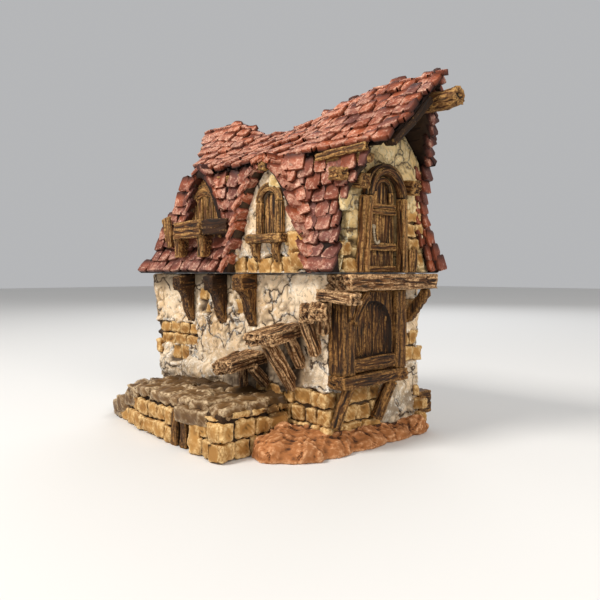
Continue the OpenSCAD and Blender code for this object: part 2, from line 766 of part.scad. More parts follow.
module door_leaf() {
    leaf = arched(door_w - 2 * fit, door_side_h, door_w / 2 - fit, 16);
    place() color(wood)
        slab_yz(shifted(leaf, door_y, seam_z), gable_x - 1 - door_t, gable_x - 1);
}

module left_hood() {
    place() color(tile)
        hood(left_x, left_half, left_apex, left_foot, left_face_y, left_overhang);
}

module middle_hood() {
    place() color(tile)
        hood(middle_x, middle_half, middle_apex, seam_z, middle_face_y, middle_overhang);
}

// Boards that close the left dormer, under a bent lintel
module left_planks() {
    count = 5;
    span = 2 * (left_half - hood_t - fit) - 3;
    pitch = span / count;
    place() color(pale_wood) {
        intersection() {
            for (i = [0:count - 1])
                translate([left_x - span / 2 + i * pitch, left_face_y, left_foot])
                    cube([pitch - fit, board_t, plate_z - fit - left_foot]);
            slab_xz(hood_line(left_x, left_half - fit, left_apex - fit, left_foot, hood_t),
                    left_face_y - cut, left_face_y + board_t + cut);
        }
        difference() {
            slab_xz(hood_line(left_x, left_half - fit, left_apex - fit, left_foot, hood_t),
                    left_face_y - board_t, left_face_y);
            slab_xz(shifted(arched(span - 3, 13, 9), left_x, left_foot - cut),
                    left_face_y - board_t - cut, left_face_y + cut);
        }
    }
}

// Plank box in front of the left dormer, on two posts that stand on the skirt
module balcony() {
    x0 = left_x - 3 - balcony_l / 2;
    front_y = left_face_y - 9.5;
    z0 = left_foot;
    post = strut_t;
    foot_z = z0 - 9;
    function roof_y(z) = ridge_y - skirt_half(z) - fit;
    place() color(pale_wood) {
        translate([x0, front_y, z0])
            cube([balcony_l, board_t, balcony_h]);
        for (x = [x0, x0 + balcony_l - board_t])
            translate([x, front_y + board_t, z0])
                cube([board_t, left_face_y - left_overhang[0] - 4 * fit - front_y - board_t, balcony_h]);
        for (x = [x0 + 1, x0 + balcony_l - 1 - post])
            slab_yz([[front_y + 0.4, z0], [front_y + 0.4, foot_z], [roof_y(foot_z), foot_z],
                     [roof_y(z0 - 4), z0 - 4], [roof_y(z0 - 4), z0]], x, x + post);
    }
}

// Shutter place of the middle dormer, drawn in X and Z
middle_sill_z = seam_z + 17;
window_x = middle_x + 2;
middle_opening_h = 14;
function middle_arch(grow, side_h) =
    shifted(arched(middle_shutter_w + 2 * grow, side_h, middle_shutter_w / 2 + grow),
            window_x, middle_sill_z);

module middle_wall() {
    place() color(plaster)
        difference() {
            slab_xz(hood_line(middle_x, middle_half - fit, middle_apex - fit, seam_z, hood_t),
                    middle_face_y, middle_face_y + dormer_t);
            slab_xz(middle_arch(0, middle_opening_h), middle_face_y - cut, middle_face_y + dormer_t + cut);
        }
}

module middle_frame() {
    place() color(wood)
        difference() {
            slab_xz(middle_arch(4, middle_opening_h), middle_face_y - board_t, middle_face_y);
            slab_xz(shifted(arched(middle_shutter_w, middle_opening_h + cut, middle_shutter_w / 2),
                            window_x, middle_sill_z - cut),
                    middle_face_y - board_t - cut, middle_face_y + cut);
        }
}

module middle_shutter() {
    place() color(pale_wood)
        slab_xz(shifted(arched(middle_shutter_w - 2 * fit, middle_opening_h, middle_shutter_w / 2 - fit),
                        window_x, middle_sill_z),
                middle_face_y, middle_face_y + board_t);
}

// Sill shelf under the shutter, on two brackets
module middle_sill() {
    shelf_l = 23;
    shelf_h = 4;
    out = 5;
    place() color(wood) {
        translate([window_x - shelf_l / 2 - 1, middle_face_y - out, middle_sill_z - shelf_h])
            cube([shelf_l, out, shelf_h]);
        for (x = [window_x - 10, window_x + 3])
            slab_yz([[middle_face_y - out + 1, middle_sill_z - shelf_h],
                     [middle_face_y - out + 2, middle_sill_z - shelf_h - 5],
                     [middle_face_y, middle_sill_z - shelf_h - 9],
                     [middle_face_y, middle_sill_z - shelf_h]], x, x + strut_t);
    }
}

// Loose plank that leans out over the skirt at the left corner
module corner_timber() {
    foot_x = left_x - 29;
    foot_z = seam_z + 13;
    foot_y = ridge_y - skirt_half(foot_z) - fit;
    place() color(pale_wood)
        slab_xz([[foot_x, foot_z], [foot_x + 5, foot_z], [foot_x + 2.5, foot_z + 17],
                 [foot_x - 4.5, foot_z + 15]], foot_y - board_t, foot_y);
}

base_plate();
earth_skirt();
stone_platform();
cellar_posts();
front_wall();
back_wall();
left_wall();
right_wall();
bracket_1();
bracket_2();
bracket_3();
tread_1();
tread_2();
tread_3();
tread_4();
stair_struts();
landing_beam();
landing_brace();
bay_sill();
bay_posts();
bay_boards();
bay_struts();
back_timber();
upper_floor();
right_gable();
left_gable();
roof_front_left();
roof_front_right();
roof_back();
roof_upper_front();
roof_upper_back();
ridge_beam();
purlins();
door_frame();
door_leaf();
left_hood();
left_planks();
balcony();
middle_wall();
middle_hood();
middle_frame();
middle_shutter();
middle_sill();
corner_timber();
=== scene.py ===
import math
import random
from random import uniform

import bmesh
import bpy
from mathutils import Matrix, Vector
from mathutils.noise import fractal, noise, voronoi


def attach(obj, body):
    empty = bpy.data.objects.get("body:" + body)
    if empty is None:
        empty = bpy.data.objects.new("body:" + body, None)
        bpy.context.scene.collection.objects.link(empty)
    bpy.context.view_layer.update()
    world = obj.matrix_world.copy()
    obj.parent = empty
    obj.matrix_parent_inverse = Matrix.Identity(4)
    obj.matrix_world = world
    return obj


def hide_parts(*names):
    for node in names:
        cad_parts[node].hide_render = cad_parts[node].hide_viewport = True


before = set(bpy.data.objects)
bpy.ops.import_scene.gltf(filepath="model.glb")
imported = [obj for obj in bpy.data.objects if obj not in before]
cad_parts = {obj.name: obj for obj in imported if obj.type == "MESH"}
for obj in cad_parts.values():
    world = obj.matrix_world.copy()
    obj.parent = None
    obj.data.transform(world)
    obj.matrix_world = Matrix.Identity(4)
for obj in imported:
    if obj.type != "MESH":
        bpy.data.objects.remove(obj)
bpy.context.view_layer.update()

# Camera: low and close, looking at the near corner between the stair front and the bay side.
# The small shift keeps the walls upright in the picture, as the photograph has them.
scene = bpy.context.scene
scene.view_settings.view_transform = "Standard"
lens = bpy.data.cameras.new("camera")
lens.lens = 39
lens.sensor_width = 36
lens.shift_y = -0.045
lens.clip_start = 0.01
camera = bpy.data.objects.new("camera", lens)
camera.location = (0.2278, -0.2136, 0.075)
camera.rotation_euler = Vector((-1, 1, 0)).to_track_quat("-Z", "Y").to_euler()
scene.collection.objects.link(camera)
scene.camera = camera

# Table top: a plain, pale and matt floor that only carries the shadow. It is part of the stage and
# not of the house.
bm = bmesh.new()
bmesh.ops.create_grid(bm, x_segments=4, y_segments=4, size=3)
floor_mesh = bpy.data.meshes.new("table_top")
bm.to_mesh(floor_mesh)
bm.free()
table_top = bpy.data.objects.new("table_top", floor_mesh)
scene.collection.objects.link(table_top)
pale = bpy.data.materials.new("pale_table")
pale.use_nodes = True
pale.node_tree.nodes["Principled BSDF"].inputs["Base Color"].default_value = (0.72, 0.71, 0.69, 1)
pale.node_tree.nodes["Principled BSDF"].inputs["Roughness"].default_value = 0.9
table_top.data.materials.append(pale)

# Soft studio light: an even pale sky, a broad lamp over the stair front, a warm one on the bay side
# and a cool one behind.
world = bpy.data.worlds.new("studio")
scene.world = world
world.use_nodes = True
sky = world.node_tree.nodes["Background"]
sky.inputs["Color"].default_value = (0.93, 0.94, 0.96, 1)
sky.inputs["Strength"].default_value = 0.5


def lamp(name, place, aim, size, watts, colour):
    light = bpy.data.lights.new(name, "AREA")
    light.size = size
    light.energy = watts
    light.color = colour
    holder = bpy.data.objects.new(name, light)
    holder.location = place
    holder.rotation_euler = (Vector(aim) - Vector(place)).to_track_quat("-Z", "Y").to_euler()
    scene.collection.objects.link(holder)


lamp("key_lamp", (-0.12, -0.75, 0.8), (0, 0, 0.06), 0.32, 10.2, (1.0, 0.965, 0.92))
lamp("side_lamp", (0.85, -0.25, 0.55), (0, 0, 0.08), 0.4, 3.9, (1.0, 0.94, 0.86))
lamp("back_lamp", (-0.5, 0.8, 0.7), (0, 0, 0.1), 0.6, 3.5, (0.93, 0.96, 1.0))

# Ground plate and earth. The house stands on a printed plate with trodden red-brown clay banked
# round the near corner and along the bay side. It was painted a mid brown, washed darker in
# the hollows and dry-brushed pale on its lumps, which every painted part of the model shares.
random.seed(7)
HOUSE_X, HOUSE_Y = 47.0, -16.5


def to_row(v):
    """A place in millimetres from the near wall corner, in metres of the shared frame."""
    return Vector(((v[0] + HOUSE_X) / 1000, (v[1] + HOUSE_Y) / 1000, v[2] / 1000))


def held(value, low=0.0, high=1.0):
    return max(low, min(high, value))


def linear(shade):
    """A colour of 0 to 255 as a socket takes it."""
    shares = [c / 255 for c in shade]
    return tuple(s / 12.92 if s < 0.0404 else ((s + 0.055) / 1.055) ** 2.4 for s in shares) + (1,)


def group_of(name, inputs, outputs):
    """A shader node group; its sockets are given as labels under the kind they are of."""
    tree = bpy.data.node_groups.new(name, "ShaderNodeTree")
    for way, table in (("INPUT", inputs), ("OUTPUT", outputs)):
        for kind, labels in table.items():
            for label in labels:
                tree.interface.new_socket(name=label, in_out=way, socket_type="NodeSocket" + kind)
    return tree, tree.nodes.new("NodeGroupInput"), tree.nodes.new("NodeGroupOutput")


def node(tree, kind, sockets, **settings):
    """A shader node; each socket takes a plain value or another node's output."""
    made = tree.nodes.new(kind)
    for key, value in settings.items():
        setattr(made, key, value)
    for socket, source in sockets.items():
        if isinstance(source, bpy.types.NodeSocket):
            tree.links.new(source, made.inputs[socket])
        else:
            made.inputs[socket].default_value = source
    return made


def mix(tree, share, first, second):
    return node(tree, "ShaderNodeMix", {0: share, 6: first, 7: second}, data_type="RGBA").outputs[2]


def ramp(tree, source, low, high, out_low=0.0, out_high=1.0):
    return node(tree, "ShaderNodeMapRange", {0: source, 1: low, 2: high, 3: out_low,
                                             4: out_high}).outputs[0]


def maths(tree, operation, first, second=0.0):
    clamped = operation in ("ADD", "MULTIPLY", "SUBTRACT", "MAXIMUM")
    return node(tree, "ShaderNodeMath", {0: first, 1: second}, operation=operation,
                use_clamp=clamped).outputs[0]


def times(tree, first, second):
    return maths(tree, "MULTIPLY", first, second)


def most(tree, first, *others):
    for other in others:
        first = maths(tree, "MAXIMUM", first, other)
    return first


def cloud(tree, place, scale, detail, roughness=0.5):
    return node(tree, "ShaderNodeTexNoise",
                {"Vector": place, "Scale": scale, "Detail": detail, "Roughness": roughness}).outputs[0]


# Paint as it lies on relief: tone changes from place to place and from piece to piece, a dark
# wash sits in the hollows and a pale dry brush catches the raised edges.
relief_paint, given, out = group_of(
    "relief_paint",
    {"Color": ("Base", "Second", "Wash", "Light"),
     "Float": ("Patch scale", "Wash amount", "Light amount", "Sharp", "Hollow", "Raised")},
    {"Color": ("Color",), "Float": ("Grit",)})
t = relief_paint
where = node(t, "ShaderNodeTexCoord", {}).outputs["Object"]
patches = cloud(t, where, given.outputs["Patch scale"], 3.0)
# a darkening laid on each piece, partly grime and partly painted shade, deepens the wash and takes off the
# dry brush
tone, edge, grime_and_shade = (node(t, "ShaderNodeAttribute", {}, attribute_name=name).outputs["Fac"]
                    for name in ("tone", "edge", "grime_and_shade"))
shift = maths(t, "ADD", times(t, ramp(t, patches, 0.35, 0.65), 0.55), times(t, tone, 0.55))
body = mix(t, shift, given.outputs["Base"], given.outputs["Second"])
speck = cloud(t, where, 900.0, 4.0, 0.65)
bend = node(t, "ShaderNodeNewGeometry", {}).outputs["Pointiness"]
crease = times(t, ramp(t, bend, 0.497, 0.447), given.outputs["Sharp"])
hollow = times(t, most(t, crease, given.outputs["Hollow"], grime_and_shade), given.outputs["Wash amount"])
body = mix(t, hollow, body, given.outputs["Wash"])
crest = times(t, ramp(t, bend, 0.508, 0.565), given.outputs["Sharp"])
brushed = times(t, most(t, crest, edge, given.outputs["Raised"]), ramp(t, speck, 0.36, 0.6))
brushed = times(t, maths(t, "SUBTRACT", brushed, grime_and_shade), given.outputs["Light amount"])
body = mix(t, brushed, body, given.outputs["Light"])
t.links.new(body, out.inputs["Color"])
t.links.new(speck, out.inputs["Grit"])


def painted(name, base, second, wash, light, patch=60.0, wash_amount=0.9, light_amount=0.8, sharp=1.0,
            roughness=0.72, bump=0.25, pattern=None):
    """A painted finish: relief_paint feeds the plastic's own shader, with a bump from its grit."""
    made = bpy.data.materials.new(name)
    made.use_nodes = True
    tree = made.node_tree
    shader = tree.nodes["Principled BSDF"]
    paint = tree.nodes.new("ShaderNodeGroup")
    paint.node_tree = relief_paint
    for label, shade in (("Base", base), ("Second", second), ("Wash", wash), ("Light", light)):
        paint.inputs[label].default_value = linear(shade)
    for label, value in (("Patch scale", patch), ("Wash amount", wash_amount),
                         ("Light amount", light_amount), ("Sharp", sharp)):
        paint.inputs[label].default_value = value
    height, depth = pattern(tree, paint) if pattern else (paint.outputs["Grit"], 0.00012)
    tree.links.new(paint.outputs["Color"], shader.inputs["Base Color"])
    bumped = node(tree, "ShaderNodeBump", {"Height": height, "Strength": bump, "Distance": depth})
    tree.links.new(bumped.outputs[0], shader.inputs["Normal"])
    shader.inputs["Roughness"].default_value = roughness
    shader.inputs["Specular IOR Level"].default_value = 0.28
    return made


def finished(name, bm, materials, body, slot, *stands_for):
    """Makes a mesh built in millimetres into a piece in the shared frame, on its body; the slot is not used.
    """
    bm.transform(Matrix.Translation(to_row((0, 0, 0))) @ Matrix.Scale(0.001, 4))
    mesh = bpy.data.meshes.new(name)
    bm.to_mesh(mesh)
    bm.free()
    mesh.polygons.foreach_set("use_smooth", [True] * len(mesh.polygons))
    for material in materials:
        mesh.materials.append(material)
    piece = bpy.data.objects.new(name, mesh)
    scene.collection.objects.link(piece)
    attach(piece, body)
    if stands_for:
        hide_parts(*stands_for)


def cad_copy(*names):
    """A merged copy of CAD nodes, in millimetres from the near wall corner."""
    bm = bmesh.new()
    for name in names:
        bm.from_mesh(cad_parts[name].data)
    bmesh.ops.remove_doubles(bm, verts=bm.verts, dist=1e-6)
    bm.transform(Matrix.Scale(1000, 4) @ Matrix.Translation(-to_row((0, 0, 0))))
    bm.normal_update()
    return bm


def sculpted(bm, voxel):
    """The same closed form as one skin of even cells, as the print's own surface is."""
    mesh = bpy.data.meshes.new("clay")
    bm.to_mesh(mesh)
    bm.free()
    holder = bpy.data.objects.new("clay", mesh)
    scene.collection.objects.link(holder)
    remesh = holder.modifiers.new("skin", "REMESH")
    remesh.mode = "VOXEL"
    remesh.voxel_size = voxel
    skin = holder.evaluated_get(bpy.context.evaluated_depsgraph_get())
    bm = bmesh.new()
    bm.from_mesh(skin.to_mesh())
    skin.to_mesh_clear()
    bpy.data.objects.remove(holder)
    bpy.data.meshes.remove(mesh)
    bm.normal_update()
    return bm


def drift(at, amount, step, start=0):
    """A small wandering offset, another one along each axis."""
    return Vector([amount * noise(at + Vector((k * step + start, 0, 0))) for k in range(3)])


def lump(bm, centre, radii, turn=0.0):
    made = bmesh.ops.create_icosphere(bm, subdivisions=3, radius=1.0)["verts"]
    bmesh.ops.transform(bm, verts=made, matrix=Matrix.Translation(centre) @ Matrix.Rotation(turn, 4, "Z")
                        @ Matrix.Diagonal((*radii, 1)))


clay = painted("trodden_clay", (170, 108, 60), (122, 77, 42), (50, 28, 18), (240, 186, 138), patch=45,
               wash_amount=0.92, light_amount=0.85, roughness=0.8, bump=1.0)
bm = cad_copy("earth_skirt")
for centre, radii, turn in (((-12, -17, 3), (7.5, 11, 7.5), 0.3), ((-16, -10, 4), (5, 8, 8), 0.1),
                            ((-3, -11, 3), (7, 8, 6), 0.5), ((2, 3, 1.5), (5, 9, 5.5), 0),
                            ((3, 22, 1), (4.4, 13, 4.0), 0), ((3, 44, 1.5), (4.8, 12, 4.4), 0.05),
                            ((3, 58, 3), (5, 8, 6), 0.2)):
    lump(bm, centre, radii, turn)
bmesh.ops.bisect_plane(bm, geom=bm.verts[:] + bm.edges[:] + bm.faces[:], plane_co=(0, 0, 0.01),
                       plane_no=(0, 0, -1), clear_outer=True)
bmesh.ops.holes_fill(bm, edges=[e for e in bm.edges if e.is_boundary], sides=0)
bm = sculpted(bm, 0.8)
for v in bm.verts:
    rise = fractal(v.co * 0.13, 0.8, 2.1, 5) * 0.9 + noise(v.co * 0.7) * 0.3
    far, clods = voronoi(v.co * 0.085 + drift(v.co * 0.14, 0.4, 17))
    crack = far[1] - far[0]
    rise += 1.5 * noise(clods[0] * 3.7) - 0.8 * max(0.0, 1 - crack / 0.1) + 0.5 * crack - 0.2
    v.co += v.normal * rise * held(v.co.z / 2)
    v.co.z = max(v.co.z, 0)
    v.co.x = min(v.co.x, 7.5)
finished("clay_bank", bm, [clay], "house", "earth", "earth_skirt")
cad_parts["base_plate"].data.materials.clear()
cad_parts["base_plate"].data.materials.append(clay)

# Stone platform. A rough podium of squared, chiselled field stones under worn paving slabs, with
# rubble running out to the left; the blocks are sculpted one by one on a dark mortar core.
HERE = Matrix.Identity(4)
PLATE_LEFT, PLATE_FRONT = -138.9, -40.95


def layer_of(bm, name):
    return bm.verts.layers.float.get(name) or bm.verts.layers.float.new(name)


def grimed_and_shaded(bm, amount):
    """Adds grime and painted shade: amount() gives a place's share, and the darker of old and new stays."""
    dark = layer_of(bm, "grime_and_shade")
    for v in bm.verts:
        v[dark] = max(v[dark], amount(v.co))


def kept_in(bm, low=-999.0, high=999.0, axis=2):
    """Holds a form between two planes across one axis, upwards if none is named."""
    for v in bm.verts:
        v.co[axis] = held(v.co[axis], low, high)


def somewhere():
    """A random place to start a noise from."""
    return Vector([uniform(-90, 90) for _ in range(3)])


def cut_along(piece, axis, length, cuts):
    """Cuts a box across the edges that run its whole length along one axis."""
    along = [e for e in piece.edges if abs((e.verts[0].co - e.verts[1].co)[axis]) > length * 0.9]
    bmesh.ops.subdivide_edges(piece, edges=along, cuts=cuts, use_grid_fill=True)


def rubbed_box(size, cell, rounds):
    """A box cut into even cells, one direction after another, with its corners rubbed off."""
    piece = bmesh.new()
    bmesh.ops.create_cube(piece, size=1)
    bmesh.ops.scale(piece, vec=size, verts=piece.verts)
    for axis in range(3):
        cut_along(piece, axis, size[axis], max(1, round(size[axis] / cell)))
    for _ in range(rounds):
        bmesh.ops.smooth_vert(piece, verts=piece.verts, factor=0.5, use_axis_x=True, use_axis_y=True,
                              use_axis_z=True)
    return piece


def joined(bm, piece, place=HERE, material=0, tone=None):
    """Adds a finished small form to a bigger mesh, in one tone of paint; no material keeps its own."""
    mark = layer_of(piece, "tone")
    value = random.random() if tone is None else tone
    for v in piece.verts:
        v[mark] = value
    for f in piece.faces:
        f.material_index = f.material_index if material is None else material
    piece.transform(place)
    bits = bpy.data.meshes.new("bits")
    piece.to_mesh(bits)
    piece.free()
    bm.from_mesh(bits)
    bpy.data.meshes.remove(bits)


def block(bm, centre, size, turn=0.0, lean=0.0, cell=1.3, rough=0.4, soft=2, tone=None, material=0,
          tip=0.0):
    """A squared stone: a cut box with rubbed corners and uneven chiselled faces."""
    piece = rubbed_box(size, cell, soft)
    piece.normal_update()
    stray = somewhere()
    for v in piece.verts:
        at = v.co + stray
        rise = 1.5 * noise(at * 0.22) + 0.8 * noise(at * 0.6) + 0.35 * noise(at * 1.5)
        v.co += v.normal * rough * rise
    place = (Matrix.Translation(centre) @ Matrix.Rotation(turn, 4, "Z") @ Matrix.Rotation(lean, 4, "X")
             @ Matrix.Rotation(tip, 4, "Y"))
    joined(bm, piece, place, material, tone)


def course(bm, points, z, height, depth, lengths=(8, 12), start=0.0, skip=None, sink=0.0, **style):
    """One row of stones along a line on the ground; the outer side is on the right of its run."""
    for (ax, ay), (bx, by) in zip(points, points[1:]):
        run = Vector((bx - ax, by - ay, 0))
        ahead = run.normalized()
        outward = Vector((ahead.y, -ahead.x, 0))
        gone = -start
        while gone < run.length - 2:
            wide = min(uniform(*lengths), run.length - gone + 1.5)
            middle = Vector((ax, ay, 0)) + ahead * (gone + wide / 2) - outward * (depth / 2 + sink)
            if not (skip and skip(middle)) and gone + wide / 2 > 0:
                middle.z = z + height / 2 + uniform(-0.25, 0.25)
                middle += outward * uniform(-0.5, 0.4)
                block(bm, middle, (wide - 1.1, depth, height - 1.0),
                      math.atan2(ahead.y, ahead.x) + uniform(-0.06, 0.06), uniform(-0.07, 0.07), **style)
            gone += wide


mortar = painted("mortar", (56, 37, 20), (38, 24, 13), (18, 11, 6), (96, 68, 40), patch=80,
                 light_amount=0.3, roughness=0.9, bump=0.5)
field_stone = painted("field_stone", (186, 138, 74), (142, 98, 46), (34, 20, 10), (242, 210, 152), patch=90,
                      wash_amount=0.95, bump=0.8)
paving = painted("worn_paving", (120, 88, 52), (84, 59, 32), (36, 25, 14), (213, 188, 150), patch=55,
                 light_amount=0.85, roughness=0.45, bump=0.5)

core = cad_copy("stone_platform")
for v in core.verts:
    v.co -= v.normal * 2.2
kept_in(core, 0, 19.4)
core = sculpted(core, 1.4)
bm = bmesh.new()
joined(bm, core, tone=0.5)
front_line = [(-137, -19.5), (-119, -25.6), (-92, -32.8), (-56, -36.8), (-20.5, -40.5), (-20.5, -2)]


def in_recess(p):
    return -61 < p.x < -41 and p.y < -25


course(bm, front_line, 0.2, 7.8, 6, (6.5, 13), start=3, skip=in_recess, rough=0.75, material=1)
course(bm, [(-112, -26.6), (-92, -32), (-56, -36), (-21, -40), (-21, -3)], 7.9, 7.8, 6, (7, 14), start=1,
       skip=in_recess, rough=0.75, material=1)
# a third, thinner course shows under the slabs along the near end
course(bm, [(-21.5, -33), (-21.5, -2)], 15.6, 3.6, 5, (7, 11), rough=0.6, material=1)
course(bm, [(-33, -39.0), (-21.5, -39.6)], 15.4, 2.2, 5, (9, 12), rough=0.6, material=1)
# the stones beside the recess
block(bm, (-39.4, -36.2, 7.6), (6.5, 6, 14.8), 0.1, rough=0.7, material=1, tone=0.0)
block(bm, (-62.4, -33.4, 11.8), (5.5, 6, 7), -0.1, rough=0.7, material=1)
# paving slabs, laid in three uneven rows; those at the edge hang over the wall below
for y, slabs in ((-31.0, ((-27, 11), (-38.5, 13), (-54, 19), (-73, 19), (-89, 14), (-101, 12))),
                 (-19.0, ((-28, 14), (-44, 19), (-63, 20), (-82, 19), (-98, 15), (-111, 12))),
                 (-7.0, ((-29, 13), (-45, 19), (-65, 20), (-84, 19), (-101, 16), (-115, 14)))):
    for x, wide in slabs:
        deep = 15.5 if y < -30 else 13.0
        edge_y = y + (x + 27) * -0.09 * (1 if y < -30 else 0.5)
        fall = 0.0 if x > -93 else (x + 93) * 0.2
        block(bm, (x + uniform(-0.8, 0.8), edge_y, 19.4 + uniform(-0.5, 0.4) + fall),
              (wide - 1.4, deep - 1.2, uniform(4.4, 5.8)), uniform(-0.14, 0.14), uniform(-0.08, 0.08),
              cell=1.25, rough=1.0, soft=4, material=2, tip=uniform(-0.04, 0.05) + (0.18 if x < -93 else 0))
# the heavy slab that bulges over the recess
block(bm, (-41.5, -35.6, 15.8), (20, 9.4, 6.6), 0.1, 0.06, cell=1.1, rough=0.5, soft=5, material=2,
      tone=0.2)
# rubble that runs out to the left
for x, y, z, size in ((-117, -20, 8.0, (14, 14, 9)), (-127, -18.0, 4.0, (15, 13, 7)),
                      (-134, -17, 1.6, (10, 8, 5)), (-121, -9, 8, (14, 12, 9)),
                      (-130, -8, 3.6, (12, 12, 6.5)), (-107, -24, 12.5, (12, 10, 7)),
                      (-124, -2.5, 7, (9, 8, 8)), (-132, -3, 1.6, (8, 7, 4.5)),
                      (-112, -11, 12.5, (14, 14, 8))):
    block(bm, (x, y, z), size, uniform(-0.4, 0.4), cell=1.4, rough=0.75, soft=6, material=2)
# all of it stays on the plate, just inside its left and front edges
kept_in(bm, 0)
kept_in(bm, PLATE_LEFT, axis=0)
kept_in(bm, PLATE_FRONT, axis=1)
# the slab tops darken in patches towards the wall
grimed_and_shaded(bm, lambda p: held((p.y + 20) / 22 + 0.9 * noise(p * 0.12) + 0.3 * noise(p * 0.5), 0, 0.75)
       if p.z > 14 else 0)
finished("platform_masonry", bm, [mortar, field_stone, paving], "house", "stone", "stone_platform")

# Cellar hatch: three weathered upright boards stand in the recess of the podium. All the wood of
# the model is sculpted with deep wavy grain, painted brown, washed and dry-brushed.


def carve(piece, along, groove=0.34, wave=1.0, tone=None, joints=(), stray=None):
    """Carves wavy grain into a form of even cells. along() turns a place into (along, across, through)."""
    stray = stray or somewhere()
    grain = piece.verts.layers.float_vector.new("grain")
    mark = layer_of(piece, "tone")
    value = random.random() if tone is None else tone
    piece.normal_update()
    for v in piece.verts:
        at = Vector(along(v.co))
        swirl = wave * noise(Vector((at.x * 0.11, at.y * 0.12, at.z * 0.12)) + stray)
        across = Vector((at.x * 0.055, (at.y + swirl) * 0.62, (at.z + swirl * 0.6) * 0.62)) + stray
        line = noise(across)
        deep = groove * (0.5 * noise(across * 2.3) - max(0.0, 1 - abs(line) / 0.24))
        deep += 0.22 * noise(at * 0.16 + stray)
        for joint in joints:
            deep -= 0.75 * max(0.0, 1 - abs(at.y - joint + 0.3 * swirl) / 0.6)
        v[grain] = (at.x + stray.x, at.y + swirl + stray.y, at.z + swirl * 0.6 + stray.z)
        v[mark] = value
        v.co += v.normal * deep


def timber(bm, size, lay, cell=1.0, groove=0.34, wave=1.0, rub=2, ragged=0.0, bow=0.0, tone=None,
           material=0, taper=0.0):
    """A sculpted length of wood: a cut box with rubbed corners and grain carved along its length."""
    length, wide, thick = size
    piece = rubbed_box(size, cell, rub)
    value = random.random() if tone is None else tone
    stray = somewhere()
    carve(piece, tuple, groove, wave, value, stray=stray)
    for v in piece.verts:
        share = held(v.co.x / length, -0.5, 0.5)
        if ragged and abs(share) > 0.38:
            at = Vector((v.co.y * 0.7, v.co.z * 0.7, share)) + stray
            v.co.x += math.copysign(ragged, share) * noise(at)
        v.co.z += bow * (1 - 4 * share * share)
        v.co.y *= 1 - taper * (share + 0.5)
        v.co = lay(v.co + Vector((length / 2, 0, 0)))
    joined(bm, piece, HERE, material, value)


def beam(bm, size, start, end, up=(0, 0, 1), **style):
    """A straight timber of a length, width and thickness; no length means just from start to end."""
    run = Vector(end) - Vector(start)
    ahead = run.normalized()
    side = Vector(up).cross(ahead).normalized()
    place = Matrix.Translation(start) @ Matrix((ahead, side, ahead.cross(side))).transposed().to_4x4()
    timber(bm, (size[0] or run.length, size[1], size[2]), lambda p: place @ p, **style)


# Fine grain between the carved grooves, drawn out along each timber's own length
wood_grain, given, out = group_of("wood_grain", {"Float": ("Width",)}, {"Float": ("Groove", "Ridge")})
t = wood_grain
along = node(t, "ShaderNodeAttribute", {}, attribute_name="grain").outputs["Vector"]
drawn = node(t, "ShaderNodeMapping", {"Vector": along, "Scale": (0.08, 1.15, 1.15)}).outputs[0]
fibre = node(t, "ShaderNodeTexNoise", {"Vector": drawn, "Scale": given.outputs["Width"], "Detail": 3.0,
                                       "Roughness": 0.6, "Distortion": 0.4}).outputs[0]
t.links.new(ramp(t, fibre, 0.49, 0.41), out.inputs["Groove"])
t.links.new(ramp(t, fibre, 0.51, 0.58), out.inputs["Ridge"])


def grained(tree, paint):
    """Wash in the fine grooves of wood, dry brush on its ridges."""
    lines = tree.nodes.new("ShaderNodeGroup")
    lines.node_tree = wood_grain
    lines.inputs["Width"].default_value = 1.0
    tree.links.new(times(tree, lines.outputs["Groove"], 0.95), paint.inputs["Hollow"])
    tree.links.new(times(tree, lines.outputs["Ridge"], 0.9), paint.inputs["Raised"])
    return maths(tree, "SUBTRACT", lines.outputs["Ridge"], lines.outputs["Groove"]), 0.00025


dark_wood = painted("dark_brown_wood", (90, 54, 20), (60, 34, 12), (14, 8, 3), (188, 138, 76),
                    wash_amount=0.97, light_amount=0.75, bump=0.8, pattern=grained)
bm = bmesh.new()
for i in range(3):
    top = 15.8 - i
    beam(bm, (top, 4.6, 4), (-58 + i * 7, -34.6, 0), (-58 + i * 7 + 0.3, -34.4, top), (0, -1, 0), cell=0.8)
kept_in(bm, 0)
finished("cellar_boards", bm, [dark_wood], "house", "wood", "cellar_posts")

# Ground storey walls. Lime plaster over field stone: uneven, cracked into plates, stained brown
# towards the ground, and fallen away in places so that the coursed stone shows.


